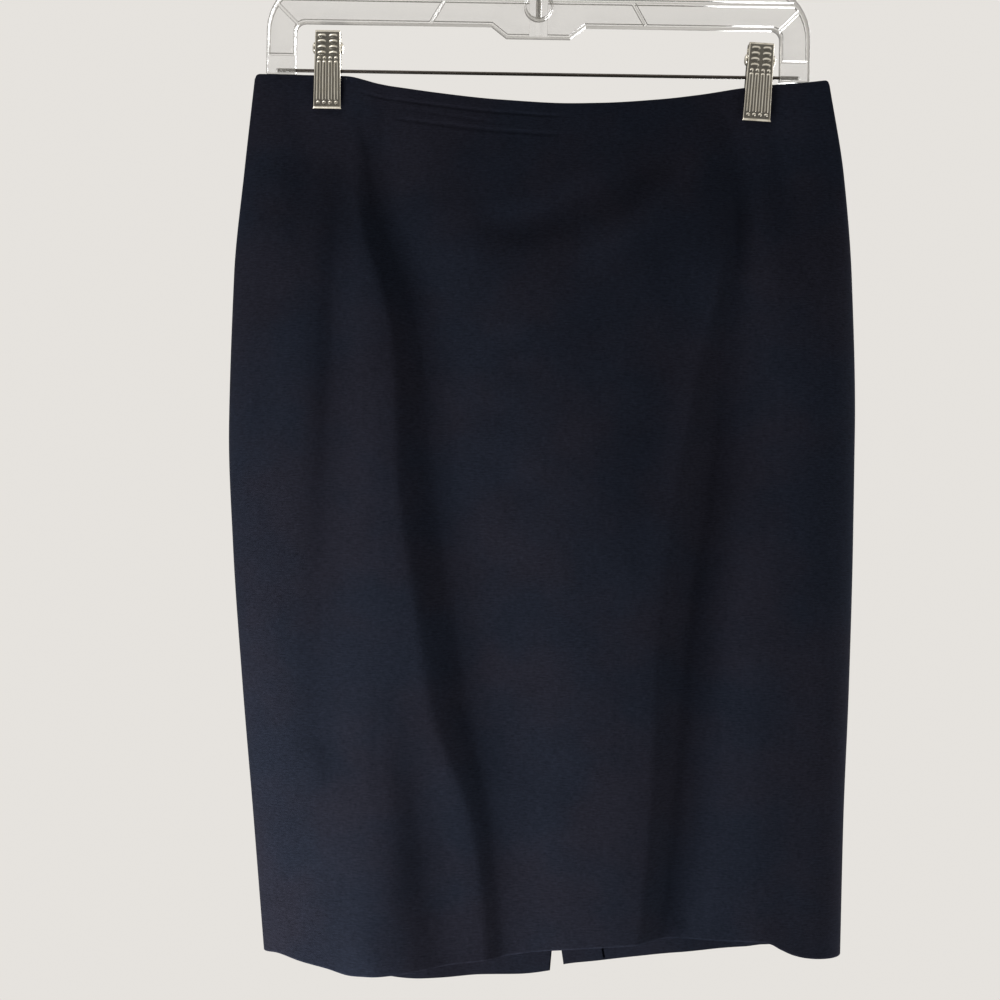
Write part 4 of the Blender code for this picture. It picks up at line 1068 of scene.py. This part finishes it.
# -------------------------------------------------------------------- clips
@dataclass
class SpringClip:
    """A stamped steel clip: two embossed jaws, a coil spring and its pin.

    "widths" and "reaches", the jaw's width and how far its face stands out, are
    for its foot and its top. Rows of studs and the upper ends of the ribs and of
    the dots are distances below the top, and the lower ends are above the foot.
    """

    place: ClipPlace
    steel: bpy.types.Material
    top: float = 25.5
    foot: float = -25.5
    widths: Point = (18.4, 16.2)
    reaches: Point = (3.2, 6.3)
    opening: float = 2.0
    corner: float = 0.9
    sheet: float = 0.55
    grid: tuple[int, int] = (66, 128)
    lip: tuple[float, float, float] = (1.5, 0.045, 0.55)
    curl: Point = (1.0, 0.9)
    raised: Point = (0.5, 0.45)
    stud_columns: Point = (-3.75, 3.75)
    stud_rows: tuple[float, ...] = (4.0, 7.7, 11.4, 15.1)
    stud_half: Point = (2.7, 1.2)
    rib_columns: tuple[float, ...] = (-5.4, -1.8, 1.8, 5.4)
    rib_half: float = 1.15
    rib_spread: float = 0.002
    rib_ends: Point = (19.9, 5.3)
    dot_ends: Point = (18.4, 4.0)
    spring_height: float = 15.0
    coil: tuple[float, float, float] = (3.9, 0.62, 13.0)
    turns: float = 8.5
    turn_steps: int = 22
    arm: tuple[Point, Point] = ((3.6, 4.0), (4.2, 3.0))
    pin: tuple[float, float, float, float] = (1.8, 3.8, 8.7, 1.5)
    dome: tuple[Point, ...] = ((0.0, 1.0), (0.55, 0.92), (0.9, 0.55), (1.0, 0.2), (1.0, 0.0))

    def finish(self, name: str, node: str, mesh: bpy.types.Mesh, sharp: float = 50.0) -> None:
        """Dresses a mesh that was made in the clip's own frame, for a CAD node."""
        mesh.transform(self.place.matrix())
        finish_piece(f"{self.place.name}_{name}", mesh, self.steel,
                     f"{self.place.name}_{node}", sharp)

    def emboss(self, x: np.ndarray, z: np.ndarray) -> np.ndarray:
        """How far the stamping raises the face, in millimetres."""
        def bump(beside: np.ndarray, above: "np.ndarray | float", height: float) -> np.ndarray:
            """A rounded form over a circle of radius 1."""
            return height * np.sqrt(np.maximum(1 - beside**2 - above**2, 0))

        wide, high = self.stud_half
        forms = [bump((x - column) / wide, (z - self.top + row) / high, self.raised[0])
                 for column in self.stud_columns for row in self.stud_rows]
        for column in self.rib_columns:
            off = x - column * (1 + self.rib_spread * (self.top - z))
            ends = ease(self.top - self.rib_ends[0] - z) * ease(z - self.foot - self.rib_ends[1])
            forms.append(bump(off / self.rib_half, 0.0, self.raised[0]) * ends)
            forms += [bump(off, z - level, self.raised[1])
                      for level in (self.top - self.dot_ends[0], self.foot + self.dot_ends[1])]
        return np.maximum.reduce(forms)

    def jaw(self, side: Side) -> None:
        """One jaw: sheet steel folded back along its sides, embossed on its face."""
        face = side.name.lower()
        mesh, across, up = flat_grid(f"{self.place.name}_{face}_plate", *self.grid)
        across = 2 * across - 1
        z = self.foot + (self.top - self.foot) * up
        flat = (self.widths[0] + (self.widths[1] - self.widths[0]) * up) / 2 - self.corner
        reach = self.reaches[0] + (self.reaches[1] - self.reaches[0]) * up
        bend = self.corner * math.pi / 2
        flange = np.maximum(reach - self.opening - self.corner, 0.05)
        s = np.abs(across) * (flat + bend + flange)
        over = np.clip(s - flat, 0, bend) / self.corner
        x = np.sign(across) * (np.minimum(s, flat) + self.corner * np.sin(over))
        y = reach - self.corner * (1 - np.cos(over)) - np.maximum(s - flat - bend, 0)
        y = y + self.emboss(x, z) * (over < 0.2)
        height, wider, out = self.lip
        lip = ease((self.foot + height - z) / height)
        curl = ease((z - self.top + self.curl[0]) / self.curl[0])
        x, y = x * (1 + wider * lip), y + out * lip - self.curl[1] * curl
        points = np.stack((x, side.value * y, z), axis=-1)
        self.finish(f"{face}_plate", f"{face}_jaw", wrapped(mesh, points, side, self.sheet))

    def spring(self) -> None:
        """The coil spring between the jaws, with its two arms up the handles."""
        mean, wire, length = self.coil
        count = int(self.turns * self.turn_steps)
        turn = 2 * math.pi / self.turn_steps
        path = [(length * (i / count - 0.5), mean * math.sin(turn * i),
                 self.spring_height + mean * math.cos(turn * i)) for i in range(count + 1)]
        (low, above), (high, below) = self.arm
        for end in (-1, 1):
            arm = [(end * length / 2, end * low, self.spring_height + above),
                   (end * length / 2, end * high, self.top - below)]
            path = path + arm if end > 0 else arm[::-1] + path
        curve = bpy.data.curves.new(f"{self.place.name}_coil", "CURVE")
        curve.dimensions = "3D"
        curve.bevel_depth = wire * MM
        curve.bevel_resolution = 2
        curve.use_fill_caps = True
        spline = curve.splines.new("POLY")
        spline.points.add(len(path) - 1)
        for point, place in zip(spline.points, path):
            point.co = (*(value * MM for value in place), 1.0)
        self.finish("coil", "spring", evaluated(curve), sharp=60)

    def rivet(self) -> None:
        """The pin through the spring, with a domed head at each end."""
        radius, head, shoulder, thick = self.pin
        profile = [(0.0, head * wide, shoulder + thick * high) for wide, high in self.dome]
        bm = turned(profile + [(0.0, radius, shoulder), (0.0, radius, 0.0)], (0, 0, 1), 28, closed=False)
        bmesh.ops.mirror(bm, geom=bm.verts[:] + bm.edges[:] + bm.faces[:], axis="Z", merge_dist=MERGE)
        bmesh.ops.remove_doubles(bm, verts=bm.verts, dist=MERGE)
        bmesh.ops.recalc_face_normals(bm, faces=bm.faces)
        mesh = mesh_of(bm, f"{self.place.name}_rivet")
        mesh.transform(Matrix.Translation((0, 0, self.spring_height * MM))
                       @ Matrix.Rotation(math.radians(90), 4, "Y"))
        self.finish("rivet", "pin", mesh, sharp=40)

    def build(self) -> None:
        """Makes the whole clip."""
        for side in Side:
            self.jaw(side)
        self.spring()
        self.rivet()


# --------------------------------------------------------------- CAD finish
def set_finish(material: bpy.types.Material, *nodes: str) -> None:
    """Gives CAD nodes a finish."""
    for node in nodes:
        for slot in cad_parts[node].material_slots:
            slot.material = material
        LOG.info("%s: finished", node)


# ------------------------------------------------------------------- hanger
@dataclass
class Hanger:
    """The clear frame, a ring round the stem, and the rod's and the hook's finish."""

    edge_round: float = 0.45
    ring_height: float = -92.9
    ring_radii: Point = (8.3, 9.5)
    ring_depth: float = 8.4
    ring_soft: float = 0.25

    def stem_ring(self, clear: bpy.types.Material) -> None:
        """The moulded ring that stiffens the frame round the hook's stem."""
        (inner, outer), half, soft = self.ring_radii, self.ring_depth / 2, self.ring_soft
        profile = [(inner, half - soft, 0.0), (inner + soft, half, 0.0), (outer - soft, half, 0.0),
                   (outer, half - soft, 0.0)]
        bm = turned(profile + [(r, -y, z) for r, y, z in reversed(profile)], (0, 1, 0), 56, closed=True)
        bmesh.ops.recalc_face_normals(bm, faces=bm.faces)
        bmesh.ops.translate(bm, vec=(0, 0, self.ring_height * MM), verts=bm.verts)
        finish_piece("stem_ring", mesh_of(bm, "stem_ring"), clear, sharp=60)

    def clear_frame(self, clear: bpy.types.Material) -> None:
        """The frame's solid again, merged, with its edges rounded."""
        bm = bmesh.new()
        bm.from_mesh(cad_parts["hanger_frame"].data)
        bmesh.ops.remove_doubles(bm, verts=bm.verts, dist=2 * MERGE)
        bmesh.ops.dissolve_limit(bm, angle_limit=math.radians(1.5), verts=bm.verts, edges=bm.edges)
        corners = [edge for edge in bm.edges if len(edge.link_faces) == 2
                   and edge.calc_face_angle() > math.radians(35)]
        bmesh.ops.bevel(bm, geom=corners, offset=self.edge_round * MM, segments=2, profile=0.5,
                        affect="EDGES", material=-1, clamp_overlap=True)
        bmesh.ops.recalc_face_normals(bm, faces=bm.faces)
        finish_piece("clear_frame", mesh_of(bm, "clear_frame"), clear, "hanger_frame", 30)

    def build(self) -> None:
        """Makes the frame, and gives the rod and the hook their finish."""
        clear = ClearFinish().build("clear_polystyrene")
        self.clear_frame(clear)
        self.stem_ring(clear)
        dark = SteelFinish((0.09, 0.08, 0.07, 1.0), (0.05, 0.04, 0.035, 1.0), 0.22)
        set_finish(dark.build("rod_steel"), "hanger_rod")
        set_finish(SteelFinish((0.36, 0.35, 0.33, 1.0), roughness=0.16).build("hook_steel"), "hanger_hook")


# ------------------------------------------------------------------- studio
@dataclass(frozen=True)
class Lamp:
    """A soft square lamp on a sphere round the skirt.

    The bearing is 0 in front and turns towards +X, and the height is an angle.
    """

    name: str
    bearing: float
    height: float
    distance: float
    size: float
    power: float

    def build(self, centre: Sequence[float]) -> None:
        """Adds the lamp, pointing at the centre."""
        light = bpy.data.lights.new(self.name, "AREA")
        light.shape = "SQUARE"
        light.size = self.size
        light.energy = self.power
        bearing, height = math.radians(self.bearing), math.radians(self.height)
        way = Vector((math.sin(bearing) * math.cos(height), -math.cos(bearing) * math.cos(height),
                      math.sin(height)))
        add_object(self.name, light).matrix_world = (
            Matrix.Translation(Vector(centre) + way * self.distance)
            @ (-way).to_track_quat("-Z", "Y").to_matrix().to_4x4())


@dataclass
class Studio:
    """The floor, the lights, the pale surround and the camera."""

    floor_height: float = -1.6
    floor_radius: float = 1.6
    camera_place: tuple[float, float, float] = (-0.0204, -1.150, -0.4178)
    sensor: float = 36.0
    focal: float = 1.7485
    roll: float = 0.9
    surround: Colour = (0.79, 0.765, 0.73, 1.0)
    ambient: float = 0.012
    shine: float = 0.16
    shine_above: float = 1.2
    shine_beside: float = 0.9
    centre: tuple[float, float, float] = (0.0, 0.0, -0.45)
    lamps: tuple[Lamp, ...] = (
        Lamp("near_left", -54, -31, 0.79, 0.4, 5.8), Lamp("low_left", -45, -55, 0.95, 0.6, 2.6),
        Lamp("high_left", -48, 50, 1.6, 0.8, 5.2), Lamp("low_right", 65, -20, 1.6, 0.8, 10.5),
        Lamp("rear", 155, 15, 1.6, 0.8, 26.0), Lamp("rear_right", 105, 20, 1.6, 0.8, 8.0))

    def floor(self) -> None:
        """A round pale floor below the skirt."""
        bm = bmesh.new()
        bmesh.ops.create_circle(bm, cap_ends=True, segments=96, radius=self.floor_radius)
        bmesh.ops.translate(bm, vec=(0, 0, self.floor_height), verts=bm.verts)
        mesh = mesh_of(bm, "floor")
        mesh.materials.append(FloorFinish().build("pale_floor"))
        add_object("floor", mesh)

    def world(self) -> None:
        """A pale surround that lights cloth less than it shows in metal and to the eye."""
        graph = Graph("studio", bpy.data.worlds)
        graph.tree.nodes.clear()
        rays = graph.node("ShaderNodeLightPath").outputs
        x, _, z = graph.split(graph.out("ShaderNodeTexCoord", output="Generated"))
        above, beside = graph.step(z, 0.05, 0.75), graph.step(abs(x), 0.3, 0.9)
        shine = above * self.shine_above + beside * self.shine_beside + self.shine
        under = graph.out("ShaderNodeBackground", None, {"Color": self.surround, "Strength": self.ambient})
        for name, strength in (("Is Glossy Ray", shine), ("Is Camera Ray", 1.0)):
            over = graph.out("ShaderNodeBackground", None, {"Color": self.surround, "Strength": strength})
            under = graph.out("ShaderNodeMixShader", None, {0: Sock(graph, rays[name]), 1: under, 2: over})
        graph.node("ShaderNodeOutputWorld", None, {"Surface": under})
        bpy.context.scene.world = graph.owner

    def camera(self) -> None:
        """The camera, level and rolled a little."""
        data = bpy.data.cameras.new("camera")
        data.sensor_width = self.sensor
        data.lens = self.sensor * self.focal
        data.clip_start = 0.01
        camera = add_object("camera", data)
        camera.matrix_world = (
            Matrix.Translation(self.camera_place) @ Matrix.Rotation(math.radians(90), 4, "X")
            @ Matrix.Rotation(math.radians(self.roll), 4, "Z"))
        bpy.context.scene.camera = camera

    def build(self) -> None:
        """Sets up the studio."""
        self.floor()
        self.world()
        for lamp in self.lamps:
            lamp.build(self.centre)
        bpy.context.scene.view_settings.view_transform = "Standard"
        self.camera()


def main() -> None:
    """Builds the studio, the skirt, its clips, its hanger and the zip's finish, in that order."""
    logging.basicConfig(level=logging.INFO, format="%(name)s: %(message)s")
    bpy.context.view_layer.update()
    steel = SteelFinish().build("nickel_plate")
    Studio().build()
    Skirt().build()
    for place in CLIPS:
        SpringClip(place, steel).build()
    Hanger().build()
    set_finish(EnamelFinish().build("navy_enamel"), "zip_slider", "zip_pull")


if __name__ == "__main__":
    main()
